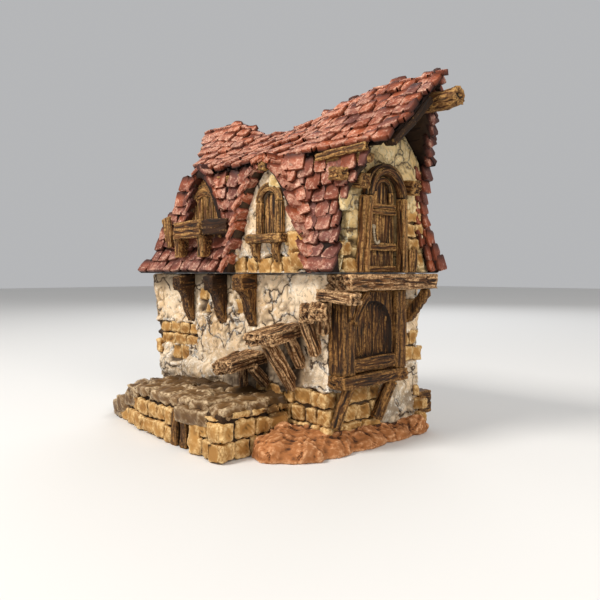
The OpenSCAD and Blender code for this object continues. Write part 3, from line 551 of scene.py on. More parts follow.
def crazed(tree, paint):
    """Plaster cracked into plates, stained towards the ground, with pits and trowel marks."""
    place = node(tree, "ShaderNodeTexCoord", {}).outputs["Object"]
    stir = node(tree, "ShaderNodeTexNoise", {"Vector": place, "Scale": 95.0,
                                             "Detail": 4.0}).outputs["Color"]
    bent = node(tree, "ShaderNodeVectorMath", {0: stir, 1: (0.014, 0.014, 0.014), 2: place},
                operation="MULTIPLY_ADD").outputs[0]
    plates, crumbs = (
        node(tree, "ShaderNodeTexVoronoi", {"Vector": bent, "Scale": scale},
             feature="DISTANCE_TO_EDGE").outputs[0]
        for scale in (78.0, 230.0))
    fade = cloud(tree, place, 42.0, 2.0)
    where_cracked = ramp(tree, fade, 0.42, 0.5)
    faults = times(tree, ramp(tree, plates, 0.056, 0.022), where_cracked)
    halo = times(tree, ramp(tree, plates, 0.15, 0.0, 0.0, 0.5), where_cracked)
    crumb = times(tree, ramp(tree, crumbs, 0.06, 0.02), ramp(tree, fade, 0.54, 0.62))
    height = node(tree, "ShaderNodeSeparateXYZ", {0: place}).outputs[2]
    blotch = cloud(tree, place, 120.0, 4.0, 0.6)
    stain = times(tree, ramp(tree, height, 0.052, 0.018, 0.0, 0.7), ramp(tree, blotch, 0.62, 0.42))
    grime = ramp(tree, blotch, 0.4, 0.26, 0.0, 0.5)
    pits = cloud(tree, bent, 620.0, 3.0, 0.6)
    deep = most(tree, faults, times(tree, crumb, 0.6), ramp(tree, pits, 0.42, 0.33, 0.0, 0.6))
    tree.links.new(most(tree, deep, most(tree, stain, grime, halo)), paint.inputs["Hollow"])
    trowel = cloud(tree, bent, 330.0, 5.0, 0.72)
    tree.links.new(ramp(tree, trowel, 0.47, 0.64, 0.0, 0.85), paint.inputs["Raised"])
    relief = maths(tree, "SUBTRACT", times(tree, trowel, 0.55), deep)
    return maths(tree, "ADD", relief, 0.6), 0.0007


plaster = painted("lime_plaster", (246, 224, 192), (214, 174, 122), (46, 26, 12), (255, 250, 238), patch=55,
                  wash_amount=0.95, light_amount=0.9, bump=0.9, pattern=crazed)


def ragged_inside(a, z, patch, seed):
    """How far a place on a wall lies inside a patch of bare stone, whose edge is broken."""
    a0, a1, z0, z1 = patch
    inside = min(a - a0, a1 - a, z - z0, z1 - z) + 2.6 * noise(Vector((a * 0.16, z * 0.22, seed)))
    return inside + 1.2 * noise(Vector((a * 0.5, z * 0.5, seed)))


def rendered(bm, voxel, sides, seed):
    """Plaster skin over a wall: cracked into plates, and sunk where a side's patches lay the stone bare."""
    bm = sculpted(bm, voxel)
    mark, dark = layer_of(bm, "tone"), layer_of(bm, "grime_and_shade")
    for v in bm.verts:
        v[mark] = 0.3 + 0.5 * noise(v.co * 0.05 + Vector((seed, 0, 0)))
        rise = 0.5 * noise(v.co * 0.09) + 0.2 * noise(v.co * 0.3) + 0.12 * noise(v.co * 0.8)
        far, corners = voronoi(v.co * 0.085 + drift(v.co * 0.16, 0.34, 31, seed))
        crack = max(0.0, 1 - (far[1] - far[0]) / 0.085)
        crack *= held(0.75 + 2.2 * noise(v.co * 0.045 + Vector((0, seed, 9))))
        rise += 0.8 * noise(corners[0] * 5.1) - 0.6 * crack
        v[dark] = 0.9 * crack
        for facing, patches in sides:
            if v.normal.dot(facing) > 0.6:
                a = v.co.x if abs(facing.y) > abs(facing.x) else v.co.y
                for patch in patches:
                    depth = ragged_inside(a, v.co.z, patch, seed)
                    rise -= 2.1 * held(depth)
                    v[dark] = max(v[dark], min(0.95, depth * 1.2))
                    if -1.6 < depth < 0.2:
                        rise += 0.5
        v.co += v.normal * rise
    return bm


def stonework(bm, face_points, patch, seed, row=6.6, depth=3.6, proud=-0.2, lengths=(6.5, 13), hidden=None):
    """Courses of stones that fill a bare patch, as far as its broken edge."""
    a0, a1, z0, z1 = patch
    first, last = face_points(z0) if callable(face_points) else face_points
    along_x = abs(last[0] - first[0]) > abs(last[1] - first[1])
    rows = max(1, round((z1 - z0) / row))
    for i in range(rows):
        z = z0 + (i + 0.5) * (z1 - z0) / rows
        line = face_points(z) if callable(face_points) else face_points
        course(bm, line, z0 + i * (z1 - z0) / rows, (z1 - z0) / rows, depth, lengths, start=uniform(0, 5),
               sink=-proud, cell=1.15, rough=0.7, material=1,
               skip=lambda p: (hidden and hidden(p, z))
               or ragged_inside(p.x if along_x else p.y, z, patch, seed) < 0.4)


SEAM_Z = 75  # the parting line between the two halves
FRONT, RIGHT, BACK, LEFT = (Vector(d) for d in ((0, -1, 0), (1, 0, 0), (0, 1, 0), (-1, 0, 0)))
front_bare = [(-128, -90, 37, 49.5), (-112, -97, 29, 38), (-45, 1, 4, 26), (-88, -79, 55, 68),
              (-60, -53, 55, 63)]
right_bare = [(-1, 34, 4, 26), (50, 66, 33, 48), (54, 66, 56, 63)]
back_bare = [(-112, -78, 24, 42), (-48, 1, 4, 22), (-60, -40, 52, 66)]
left_bare = [(-1, 20, 32, 48), (30, 66, 4, 24)]
bm = cad_copy("front_wall", "back_wall", "left_wall", "right_wall")
for centre, radii in (((-25, -0.5, 28), (3.2, 3, 7)), ((-88, -0.5, 26), (16, 2.4, 5)),
                      ((-116, -0.5, 27), (9, 2, 6))):
    lump(bm, centre, radii)
bm = rendered(bm, 0.95, ((FRONT, front_bare), (RIGHT, right_bare), (BACK, back_bare), (LEFT, left_bare)),
              3.0)
kept_in(bm, high=74.95)


def wall_painted_shade(p):
    """Painted shade on the front, under the stair and under the eaves."""
    if p.y >= 2.5:
        return 0
    under = 35 + 0.56 * (p.x + 52) if p.x > -52 else 34
    stair = held((under - p.z + 3) / 4) * held((p.x + 72) / 8) * held((-13 - p.x) / 4) if p.z > 19 else 0
    eaves = 0.6 * held((p.z - 62) / 9) * held((-58 - p.x) / 5)
    return max(stair, eaves) * min(1.0, 0.92 + 0.5 * noise(p * 0.14) + 0.4 * noise(p * 0.6))


def left_face(z):
    return -(119 + 13.5 * z / SEAM_Z)


grimed_and_shaded(bm, wall_painted_shade)
for patches, line in ((front_bare, lambda a, b: [(a, 0), (b, 0)]),
                      (right_bare, lambda a, b: [(0, a), (0, b)])):
    for patch in patches:
        stonework(bm, line(*patch[:2]), patch, 3.0, proud=0.2 if patch[3] < 30 else -0.4)
for patch in back_bare:
    stonework(bm, [(patch[1], 64), (patch[0], 64)], patch, 3.0, proud=-0.1)
for patch in left_bare:
    stonework(bm, lambda z: [(left_face(z), patch[1]), (left_face(z), patch[0])], patch, 3.0, proud=-0.1)
finished("ground_walls", bm, [plaster, field_stone], "house", "plaster", "front_wall", "back_wall",
         "left_wall", "right_wall")

# Brackets under the eaves. Three tapering knees of dark wood, each under a squared joist end, are
# let into the plaster of the front wall and carry the edge of the lift-off half.


def carved_node(bm, name, along, voxel=0.75, **style):
    """A CAD node's form with grain carved in it."""
    piece = sculpted(cad_copy(name), voxel)
    carve(piece, along, **style)
    joined(bm, piece, tone=style.get("tone"))


def upright(p):
    return (p.z, p.x, p.y)


def lengthwise(p):
    return (p.x, p.z, p.y)


def crosswise(p):
    return (p.y, p.z, p.x)


for i, (x, eaves_shade) in enumerate(((-47, 0.05), (-69, 0.85), (-95, 0.5))):
    bm = bmesh.new()
    carved_node(bm, f"bracket_{i + 1}", upright, tone=0.2)
    beam(bm, (9.4, 7.4, 7.2), (x, -0.4, 70.9), (x, -9.8, 70.4 - 0.4 * i), cell=0.9, ragged=0.8, tone=0.1)
    # the tops of the brackets are painted dark as the shade under the eaves, most on the middle one
    grimed_and_shaded(bm, lambda p: eaves_shade * held((p.z - 56) / 12) * (0.6 + 0.8 * abs(noise(p * 0.2))))
    finished(f"eaves_bracket_{i + 1}", bm, [dark_wood], "house", "wood", f"bracket_{i + 1}")

# Stair. Rough split planks of weathered wood climb from the platform to the landing. They are let
# into the front wall at one end and stand on slanting struts at the other.
pale_wood = painted("weathered_brown_wood", (118, 74, 33), (78, 45, 19), (16, 9, 4), (240, 196, 144),
                    wash_amount=0.97, light_amount=0.9, bump=0.8, pattern=grained)
for name, parts in (("tread_1", (((-54.6, 0.4, 35.7), (-45.6, -21.6, 32.9), 8.6, 0.3, 0.4),
                                 ((-47.5, 0.4, 37.2), (-43.4, -22.2, 34.0), 8.6, 0.15, 0.2),
                                 ((-40.6, 0.4, 37.0), (-40.4, -22.0, 34.2), 7.4, 0.0, 0.6))),
                    ("tread_2", (((-25.6, 0.4, 50.6), (-26.2, -20.2, 47.0), 8.4, 0.0, 0.25),
                                 ((-17.2, 0.4, 51.2), (-17.0, -20.4, 47.4), 9.0, 0.0, 0.55))),
                    ("tread_3", (((-12.2, 0.4, 60.2), (-2.0, -10.6, 57.0), 6.2, 0.0, 0.3),
                                 ((-5.2, 0.4, 60.6), (4.2, -10.8, 58.2), 7.6, 0.0, 0.15)))):
    bm = bmesh.new()
    for start, end, wide, taper, tone in parts:
        beam(bm, (None, wide, 5.4), start, end, cell=0.9, ragged=1.6, wave=1.8, groove=0.5, taper=taper,
             tone=tone)
    finished(f"stair_{name}", bm, [pale_wood], "house", "wood", name)
bm = bmesh.new()
beam(bm, (19.0, 6.6, 4.9), (-0.4, -3.5, 66.4), (18.6, -3.6, 64.6), cell=0.9, ragged=1.4, wave=1.6,
     groove=0.5)
finished("stair_tread_4", bm, [pale_wood], "house", "wood", "tread_4")
bm = bmesh.new()
for foot, head, wide, thick in (((-38.2, 0.4, 24.5), (-38.2, -8.2, 33.4), 4.4, 4.4),
                                ((-20.8, 0.4, 25.5), (-20.8, -15, 46), 5.6, 5.0),
                                ((-15.2, 0.2, 35), (-15.4, -7.6, 48), 4.6, 4.2),
                                ((-6.2, 0.2, 41), (-6.2, -7.4, 56.5), 5.2, 4.6),
                                ((-48.8, -3.6, 20.5), (-48.8, -4.6, 33.4), 3.6, 3.8),
                                ((-1.6, -1.2, 50), (1.8, -4.4, 63.6), 5.0, 4.6)):
    beam(bm, (None, wide, thick), foot, head, (1, 0, 0), cell=0.8, groove=0.45)
finished("stair_props", bm, [pale_wood], "house", "wood", "stair_struts")

# Landing. Two heavy split beams lie side by side along the bay side, where the upper door opens on
# to them; knees of dark wood carry them from the wall.
bm = bmesh.new()
beam(bm, (62.5, 8.6, 6.9), (9.9, -2.4, 71.1), (9.7, 60, 71.2), ragged=1.6, wave=2.0, groove=0.5, tone=0.15)
beam(bm, (61, 5.6, 6.3), (2.9, -1.6, 71.4), (2.9, 59.4, 71.4), ragged=1.2, wave=1.4, tone=0.5)
kept_in(bm, high=74.9)
finished("landing_planks", bm, [pale_wood], "house", "wood", "landing_beam")
bm = bmesh.new()
carved_node(bm, "landing_brace", upright, tone=0.3)
finished("landing_knees", bm, [dark_wood], "house", "wood", "landing_brace")

# Bay window. A framed box of dark wood stands on a projecting sill with slanting props under it.
# Upright boards close it round an arched shutter, behind a rail and a short brace.
bm = bmesh.new()
beam(bm, (43.6, 9.8, 5.6), (4.9, -0.8, 30.2), (4.9, 42.6, 30.4), ragged=1.2, wave=1.8, groove=0.45,
     tone=0.1)
finished("bay_sill_beam", bm, [dark_wood], "house", "wood", "bay_sill")
bm = bmesh.new()
for y in (3.5, 38.9):
    beam(bm, (35, 3.6, 8.6), (4.3, y - 1.6, 32.8), (4.3, y - 1.6, 67.7), (-1, 0, 0), tone=0.7)
    beam(bm, (35, 4.2, 8.7), (4.4, y + 1.7, 32.8), (4.4, y + 1.7, 67.7), (-1, 0, 0), tone=0.25, wave=0.7)
finished("bay_post_pair", bm, [dark_wood], "house", "wood", "bay_posts")
bm = bmesh.new()


def bay_grain(p):
    return (p.y, p.z, p.x) if p.x > 6.7 else (p.z, p.y, p.x)


piece = sculpted(cad_copy("bay_boards"), 0.6)
set_back = {}
for v in piece.verts:
    if v.co.x > 4.9 and v.co.z > 38.6:
        y, z = v.co.y - 22.2, v.co.z - 50.8
        set_back[v.index] = min(11.8 - abs(y), z + 11.6) if z < 0 else 11.8 - math.hypot(y, z)
        v.co.x -= 1.5 * held(set_back[v.index] / 0.8)
carve(piece, bay_grain, joints=(10.1, 14.5, 18.6, 23.6, 28, 32.3), groove=0.4, wave=0.7, tone=0.4)
# the recess round the arched shutter is painted dark as shade, broader towards the back and at the top
dark = layer_of(piece, "grime_and_shade")
for v in piece.verts:
    inside = set_back.get(v.index, -9)
    if inside > -0.5:
        v[dark] = max(0.0, 0.95 - max(0, inside) / (3.2 if v.co.y > 24 or v.co.z > 56 else 1.2))
joined(bm, piece, tone=0.4)
beam(bm, (15, 4.4, 2.8), (9.3, 5.4, 54.2), (9.3, 14.2, 66.6), (-1, 0, 0), cell=0.7, groove=0.45, tone=0.2,
     bow=0.8)
beam(bm, (28.6, 5.6, 1.9), (7.4, 7, 36.7), (7.4, 35.6, 37.0), (1, 0, 0), cell=0.8, groove=0.4, tone=0.2)
finished("bay_panelling", bm, [dark_wood], "house", "wood", "bay_boards")
bm = bmesh.new()
for y0, y1 in ((2.2, 6), (29, 35)):
    beam(bm, (18.2, 5.2, 4.6), (1.8, y0, 11.0), (6.2, y1, 28.4), cell=0.8, tone=0.5)
finished("bay_props", bm, [dark_wood], "house", "wood", "bay_struts")
bm = bmesh.new()
beam(bm, (10.2, 7, 11), (-2.5, 63.8, 12.6), (-2.5, 74, 12.4), ragged=1.0, tone=0.6)
kept_in(bm, high=74, axis=1)
finished("corner_stub", bm, [dark_wood], "house", "wood", "back_timber")

# Roof tiles. Small hand-cut clay tiles, hung in uneven overlapping rows on a dark bed that follows
# the swept roof: steep skirts below, hollow slopes above that run out to a prow over the door.
# They were painted brick red, washed almost black between and dry-brushed pale pink; the shade
# under each tile is painted on as well.
RIDGE_Y, RIDGE_Z = 28.0, 155
BREAK_Z = 122  # where the steep skirt meets the hollow slope
SKIRT_H = BREAK_Z - SEAM_Z
TOP_HALF, FLARE = 31, 7  # half the width of the upper slopes, and how far the skirt swings out
ROOF_FOOT, ROOF_TOP, LOOSE_TOP = 75.02, 155.9, 158.4  # the last for loosened ridge tiles
ROWS = 8  # of tiles up a skirt and up an upper slope
ARCH = 1.82  # the power of a dormer's curve
MIDDLE_HOOD, LEFT_HOOD = (-30, 26.5, 125, 75), (-80, 17, 126, 92)  # middle x, half width, apex, foot
LEFT_X = LEFT_HOOD[0]


def between(table, at):
    for (a, low), (b, high) in zip(table, table[1:]):
        if at <= b:
            return low + (high - low) * max(0.0, (at - a) / (b - a))
    return table[-1][1]


def skirt_half(z):
    return 29.5 + FLARE * max(0.0, (BREAK_Z - z) / SKIRT_H) ** 3


def left_verge(z):
    line = [(0, -1), (0.17, 5), (0.34, 11.5), (0.53, 18.5), (0.81, 26.5), (1, 31.5)]
    return -132.5 + between(line, (z - SEAM_Z) / SKIRT_H)


def front_verge(z):
    return 9 + between([(0, 2), (0.17, -1), (0.53, -4), (0.79, 5), (1, 15)], (z - SEAM_Z) / SKIRT_H)


def back_verge(z):
    return 9 + between([(0, 3), (0.36, -1), (0.85, -1), (1, 3)], (z - SEAM_Z) / SKIRT_H)


def hood_half(hood, z):
    _, half, apex, foot = hood
    return half * (max(0.0, apex - z) / (apex - foot)) ** (1 / ARCH)


def ridge_at(x):
    u = (x + 59) / (36 if x < -59 else 66)
    return RIDGE_Z - (10.5 * (1 - u * u) ** 2 if abs(u) < 1 else 0)


def slope_z(x, h):
    share = ((h * h + 16) ** 0.35 - 4 ** 0.7) / ((TOP_HALF * TOP_HALF + 16) ** 0.35 - 4 ** 0.7)
    return ridge_at(x) - (ridge_at(x) - 125.5) * share


def prow_at(h, side):
    return 39 - (7 * h / TOP_HALF if side > 0 else 27.5 * (h / TOP_HALF) ** 0.8)


def tail_at(h):
    return -119 + 32 * h / TOP_HALF


def tile(bm, foot, up, out, wide, long, thick=2.0, lift=0.0, tone=None, askew=0.0, fall=2.1, grime_and_shade=1.0):
    """One hand-cut tile: a worn slab with clipped corners, tilted so that its foot stands proud, resting on
    the row below.
    """
    piece = bmesh.new()
    bmesh.ops.create_cube(piece, size=2)
    cut_along(piece, 0, 2, 3)
    cut_along(piece, 1, 2, 3)
    mark, dark = layer_of(piece, "edge"), layer_of(piece, "grime_and_shade")
    shine = uniform(0.5, 1.0)
    clip = {(x, y): random.choice((0.3, 0.5, 0.8, 1.7)) for x in (-1, 1) for y in (-1, 1)}
    stray = somewhere()
    narrow = uniform(-0.06, 0.1)
    for v in piece.verts:
        x, y, level = v.co
        corner = clip.get((round(x), round(y)), 0.0) if abs(x) > 0.9 and abs(y) > 0.9 else 0.0
        rim = max(abs(x), abs(y)) > 0.9
        across = math.copysign(1.0 if abs(x) > 0.9 else (0.78 if abs(x) > 0.3 else 0.0), x)
        length = math.copysign(1.0 if abs(y) > 0.9 else (0.78 if abs(y) > 0.3 else 0.0), y)
        v.co = Vector((across * wide / 2 - math.copysign(corner, x),
                       length * long / 2 - math.copysign(corner, y), 0))
        v.co.x *= 1 - narrow * length
        if level > 0:
            v.co.z = thick / 2 - (0.22 if rim else 0.0) + 0.7 * noise(v.co * 0.24 + stray)
            v[mark] = shine * ((0.9 if y < -0.9 else 0.35) if rim else (0.15 if y < -0.3 else 0.0))
            # the covered head and the underside of each tile are painted dark, as the shade under the next
            # row and under the tile
            v[dark] = 0.85 if y > 0.3 else 0.0
        else:
            v.co.z = -thick / 2
            v[dark] = grime_and_shade
        v.co += drift(v.co * 0.5 + stray, 0.22, 9)
        v.co.y += long / 2
        v.co.z += thick / 2
    bmesh.ops.recalc_face_normals(piece, faces=piece.faces)
    for e in piece.edges:
        e.smooth = e.calc_face_angle(0) < 0.6
    side = up.cross(out).normalized()
    turn = Matrix((side, up, out)).transposed().to_4x4()
    slant = -math.atan2(fall, long)
    joined(bm, piece, Matrix.Translation(foot + out * (lift - 0.95)) @ turn
           @ Matrix.Rotation(slant + uniform(-0.05, 0.08), 4, "X")
           @ Matrix.Rotation(askew + uniform(-0.11, 0.11), 4, "Z")
           @ Matrix.Rotation(uniform(-0.1, 0.1), 4, "Y"),
           0, random.random() ** 1.3 if tone is None else tone)


def tile_bed(bm, name, sink=1.6):
    """The shell that carries the tiles: the CAD form drawn in, its flat foot kept on the parting line."""
    bed = cad_copy(name)
    feet = {v for v in bed.verts if v.co.z < 75.05}
    for v in bed.verts:
        v.co -= v.normal * sink
        if v in feet:
            v.co.z = 75.0
    inner = {f for f in bed.faces if f.normal.z < -0.15 or (abs(f.normal.x) < 0.5 and abs(f.normal.y) > 0.3
             and (f.normal.y > 0) == (f.calc_center_median().y < RIDGE_Y))}
    for f in bed.faces:
        f.material_index = 2 if f in inner else 1
    joined(bm, bed, material=None, tone=0.5)


def hung_rows(bm, side, starts, stops, skip=None):
    """Rows of tiles up one side of the steep skirt, between two ends that change with height."""
    step = 46.5 / ROWS
    for i in range(ROWS):
        z = 75.4 + i * step
        slope = FLARE * 3 / SKIRT_H * ((BREAK_Z - z) / SKIRT_H) ** 2
        up = Vector((0, side * slope, 1)).normalized()
        out = Vector((0, -side, slope)).normalized()
        x, end = starts(z + step / 2) - uniform(0, 3), stops(z + step / 2)
        while x < end - 1.5:
            wide = min(uniform(6.4, 9.6), max(3.8, end - x + 0.8))
            rise = uniform(-0.9, 0.9) if i else uniform(0, 0.5)
            foot = Vector((x + wide / 2, RIDGE_Y - side * skirt_half(z + rise), z + rise))
            if not (skip and skip(foot.x, z + step / 2)) and foot.x - wide / 2 > starts(z + step / 2) - 2.5:
                tile(bm, foot, up, out, wide - 0.8, step * 1.4,
                     lift=uniform(-0.4, 1.0) + (0.4 if i == 0 else 0),
                     tone=min(1.2, 0.35 + random.random() ** 1.2 + max(0.0, 0.6 - i * 0.25)),
                     askew=uniform(-0.13, 0.13))
            x += wide
    grimed_and_shaded(bm, lambda p: 0.2 + 0.75 * noise(p * 0.16))


def slope_rows(bm, side):
    """Rows of tiles up one of the hollow upper slopes, from its eaves to the ridge."""
    heights = [TOP_HALF * (1 - i / ROWS) ** 1.06 for i in range(ROWS + 1)]
    for i in range(ROWS):
        h, above = heights[i], heights[i + 1]
        x, end = tail_at(h * 0.7 + above * 0.3) - uniform(0, 2.5), prow_at(h * 0.7 + above * 0.3, side)
        while x < end - 1.2:
            wide = min(uniform(6.2, 9.4), max(3.8, end - x + 0.8))
            mid = x + wide / 2
            low = Vector((mid, RIDGE_Y - side * h, slope_z(mid, h)))
            high = Vector((mid, RIDGE_Y - side * above, slope_z(mid, above)))
            up = (high - low).normalized()
            beside = Vector((1, 0, slope_z(mid + 0.5, h) - slope_z(mid - 0.5, h))).normalized() * side
            out = beside.cross(up).normalized()
            long = (high - low).length * (1.4 if i < ROWS - 1 else uniform(1.0, 1.3))
            tile(bm, low + up * uniform(-1.1, 0.8), up, out, wide - 0.9, long, thick=2.3,
                 lift=uniform(-0.5, 1.0), fall=0.9)
            x += wide


def worn(tree, paint):
    """Dry brush and wash broken up over a tile's own face."""
    place = node(tree, "ShaderNodeTexCoord", {}).outputs["Object"]
    rub = cloud(tree, place, 380.0, 4.0, 0.7)
    tree.links.new(ramp(tree, rub, 0.48, 0.61, 0.0, 0.9), paint.inputs["Raised"])
    tree.links.new(ramp(tree, rub, 0.46, 0.32, 0.0, 0.7), paint.inputs["Hollow"])
    return rub, 0.0006


clay_tile = painted("red_clay_tile", (172, 84, 42), (122, 68, 56), (28, 11, 8), (248, 204, 176), patch=48,
                    wash_amount=0.97, light_amount=0.82, sharp=0.5, roughness=0.55, bump=0.8, pattern=worn)
tile_mortar = painted("tile_bed_paint", (40, 22, 14), (28, 16, 10), (12, 7, 5), (70, 44, 30),
                      light_amount=0.15, roughness=0.85)
# dark brown boards for the undersides, their colour darkened further as the shade beneath the roof
under_wood = painted("roof_boarding", (52, 33, 18), (34, 21, 11), (14, 8, 4), (104, 74, 44),
                     light_amount=0.3, bump=0.5)


def tiled(bm, name, stands_for, top=ROOF_TOP):
    """A finished field of tiles, held above the parting line."""
    kept_in(bm, ROOF_FOOT, top)
    finished(name, bm, [clay_tile, tile_mortar, under_wood], "roof", "tile", stands_for)


bm = bmesh.new()
tile_bed(bm, "roof_front_left")
hung_rows(bm, 1, left_verge, lambda z: MIDDLE_HOOD[0] - hood_half(MIDDLE_HOOD, z),
          skip=lambda x, z: z > 92 and abs(x - LEFT_X) < hood_half(LEFT_HOOD, z) - 1.5)
tiled(bm, "tiles_front_left", "roof_front_left")
bm = bmesh.new()
tile_bed(bm, "roof_front_right")
hung_rows(bm, 1, lambda z: MIDDLE_HOOD[0] + hood_half(MIDDLE_HOOD, z), front_verge)
for x, y, z in ((-22.0, -4.6, 118.6), (-15.0, -4.0, 118.2), (-19.0, -5.4, 113.6)):
    tile(bm, Vector((x, y, z)), Vector((0, 0.12, 1)), Vector((0.15, -1, 0.12)).normalized(), 7.6, 8.0,
         lift=0.4)
tiled(bm, "tiles_front_right", "roof_front_right")
bm = bmesh.new()
tile_bed(bm, "roof_back")
hung_rows(bm, -1, left_verge, back_verge)
# tiles stacked on edge down the far verge, whose faces look past the gable
for i in range(9):
    z = 75.6 + i * 5.2
    for out, reach in ((0.6, 3.4), (-0.6, 7.2)):
        foot = Vector((back_verge(z) + out, RIDGE_Y + skirt_half(z) - reach + 2, z + uniform(-0.6, 0.6)))
        tile(bm, foot, Vector((0.08, -0.06, 1)).normalized(), Vector((1, 0.2, -0.06)).normalized(),
             uniform(5.4, 7.4), uniform(6.6, 8.6), lift=uniform(0, 1.7), askew=uniform(-0.2, 0.2))
# the tiles at the far verge are painted darker in patches, as the shade on that side
grimed_and_shaded(bm, lambda p: 0.42 + 0.5 * noise(p * 0.12) if p.x > back_verge(p.z) - 2 else 0)
tiled(bm, "tiles_back", "roof_back")
for name, side in (("front", 1), ("back", -1)):
    bm = bmesh.new()
    tile_bed(bm, f"roof_upper_{name}")
    for v in bm.verts:
        h = abs(v.co.y - RIDGE_Y)
        if h > 28:
            v.co.y += side * 2.4 * min(1, (h - 28) / 2)
            v.co.z += 1.2 * min(1, (h - 28) / 2)
        v.co.x = min(v.co.x, prow_at(min(h, TOP_HALF), side) - 2.6 - (2.4 if h > 22 else 0))
    slope_rows(bm, side)
    if side > 0:
        # a few tiles along the ridge have worked loose and stand up
        for x, lean in ((14, 0.5), (-25, 0.3), (-92, 0.35), (-80, 0.2), (31, 0.2)):
            tile(bm, Vector((x, RIDGE_Y - 1.5, ridge_at(x) - 1.6)),
                 Vector((lean * 0.5, 0.25, 1)).normalized(), Vector((0.1, -1, 0.25)).normalized(), 6.5,
                 6.4 if x == 14 else 4.2, lift=0.6)
    else:
        # the far edge of the prow, its tiles turned over the verge
        for i in range(8):
            h = TOP_HALF * (1 - (i + 0.4) / 8)
            x = prow_at(h, -1)
            foot = Vector((x - 0.2, RIDGE_Y + h - 1.2, slope_z(x, h) - 3.0))
            tile(bm, foot, Vector((0.1, -0.35, 1)).normalized(), Vector((1, 0.25, 0)).normalized(),
                 uniform(5.6, 7), 6.6, lift=uniform(0, 0.8), tone=1.0)
        # these far-edge tiles are painted nearly black, as the shade on the far side of the prow
        grimed_and_shaded(bm, lambda p: 0.82 * (p.z < 150
                                     and p.x > prow_at(min(TOP_HALF, abs(p.y - RIDGE_Y)), -1) - 1.2))
    # the prow end is painted darker in mottled patches, as the shade on that end
    grimed_and_shaded(bm, lambda p: (0.16 + 0.75 * noise(p * 0.16)) * held((p.x + 5) / 15))
    tiled(bm, f"tiles_upper_{name}", f"roof_upper_{name}", LOOSE_TOP)


def hood_rows(bm, hood, face_y, overhang, shade, rows):
    """Tiles up both sides of a dormer's arch, as many across as its overhang has room for."""
    mid, half, apex, foot_z = hood

    def at(u):
        return mid + half * u, foot_z + (apex - foot_z) * (1 - abs(u) ** ARCH)

    for hand in (-1, 1):
        line = [at(hand * (1 - i / 40)) for i in range(41)]
        lengths = [0.0]
        for (ax, az), (bx, bz) in zip(line, line[1:]):
            lengths.append(lengths[-1] + math.hypot(bx - ax, bz - az))
        step = lengths[-1] / rows
        for i in range(rows):
            k = min(38, max(range(41), key=lambda n: -abs(lengths[n] - i * step)))
            (ax, az), (bx, bz) = line[k], line[min(40, k + 5)]
            up = Vector((bx - ax, 0, bz - az)).normalized()
            out = Vector((hand * up.z, 0, -hand * up.x)).normalized()
            if out.z < 0:
                out = -out
            u = hand * (1 - k / 40)
            front = face_y - between([(-1, overhang[0]), (0, overhang[1]), (1, overhang[2])], u)
            back = RIDGE_Y - skirt_half(az) + 2.2 if az < 116 else -2.0
            across = max(1, round((back - front) / 7.5))
            for n in range(across):
                wide = (back - front) / across
                y = front + wide * (n + 0.5) - (0.6 if n == 0 else 0)
                # the underside of a row's front tile takes the hood's painted shade
                tile(bm, Vector((ax, y, az)), up, out, wide - 0.3 + (uniform(0.4, 1.8) if n == 0 else 0),
                     step * 1.3, thick=2.2, lift=uniform(0.2, 1.2), fall=3.6 if hand < 0 else 2.4,
                     grime_and_shade=shade[0] if n == 0 else 1.0)
                if n == 0 and hand < 0:
                    tile(bm, Vector((ax, y, az)) + up * step * 0.5 - out * 0.9, up, out, wide - 0.3,
                         step * 0.9, thick=2.8, lift=uniform(-0.3, 0.3), fall=2.6, grime_and_shade=shade[1])


for name, hood, face_y, lip, overhang, shade, rows in (
        ("middle", MIDDLE_HOOD, -6, 1.4, (5, 4.5, 0.8), (0.2, 0.1), 8),
        ("left", LEFT_HOOD, -1.5, 0.4, (3, 5.5, 0.4), (0.85, 0.85), 6)):
    bm = bmesh.new()
    tile_bed(bm, f"{name}_hood", sink=0.8)
    hood_rows(bm, hood, face_y, overhang, shade, rows)
    mid, half, apex, foot_z = hood
    for i in range(9):
        z = 75.6 + i * 5.81
        if z < foot_z + 2 or z > apex - 9:
            continue
        edge_x, above_x = (mid + hood_half(hood, height) for height in (z, min(apex - 1, z + 5)))
        skirt_y = RIDGE_Y - skirt_half(z)
        front = face_y + lip
        for share in ((0.12, 0.62) if skirt_y - front > 3.2 else (0.3,)):
            foot = Vector((edge_x + 0.6 + 3.6 * share, front + (skirt_y - front) * share,
                           z + uniform(-0.7, 0.7)))
            tile(bm, foot, Vector((above_x - edge_x, 0.3, 5)).normalized(),
                 Vector((0.62 - 0.3 * share, -0.74, 0.16)).normalized(), uniform(5.6, 7.2), 8.2,
                 lift=uniform(0.2, 1.0), fall=2.4)
    tiled(bm, f"tiles_{name}_hood", f"{name}_hood")

# Ridge beam. One crooked log of olive brown wood lies under the ridge, and its broken near end juts
# out of the prow beside two dark barge boards. Purlins and wall plates of the same wood lie lower.
upper_wood = painted("olive_brown_wood", (112, 66, 28), (70, 40, 16), (16, 9, 4), (212, 164, 98),
                     wash_amount=0.97, bump=0.8, pattern=grained)
bm = bmesh.new()
piece = sculpted(cad_copy("ridge_beam"), 0.9)
for v in piece.verts:
    v.co.z += 2.6 * max(0.0, 1 - abs(v.co.x - 22) / 16)
    if v.co.x > 36:
        v.co.x += 1.1 * noise(Vector((v.co.y * 0.5, v.co.z * 0.5, 3))) * (v.co.x - 36) / 9
        reach = math.hypot(v.co.y - RIDGE_Y, v.co.z - 144.9)
        if v.co.x > 43.5 and reach < 2.6:
            v.co.x -= 2.4 * (1 - reach / 2.6)
    v.co.x = min(v.co.x, 45)
carve(piece, lengthwise, groove=0.5, wave=1.6, tone=0.6)
joined(bm, piece, tone=0.6)
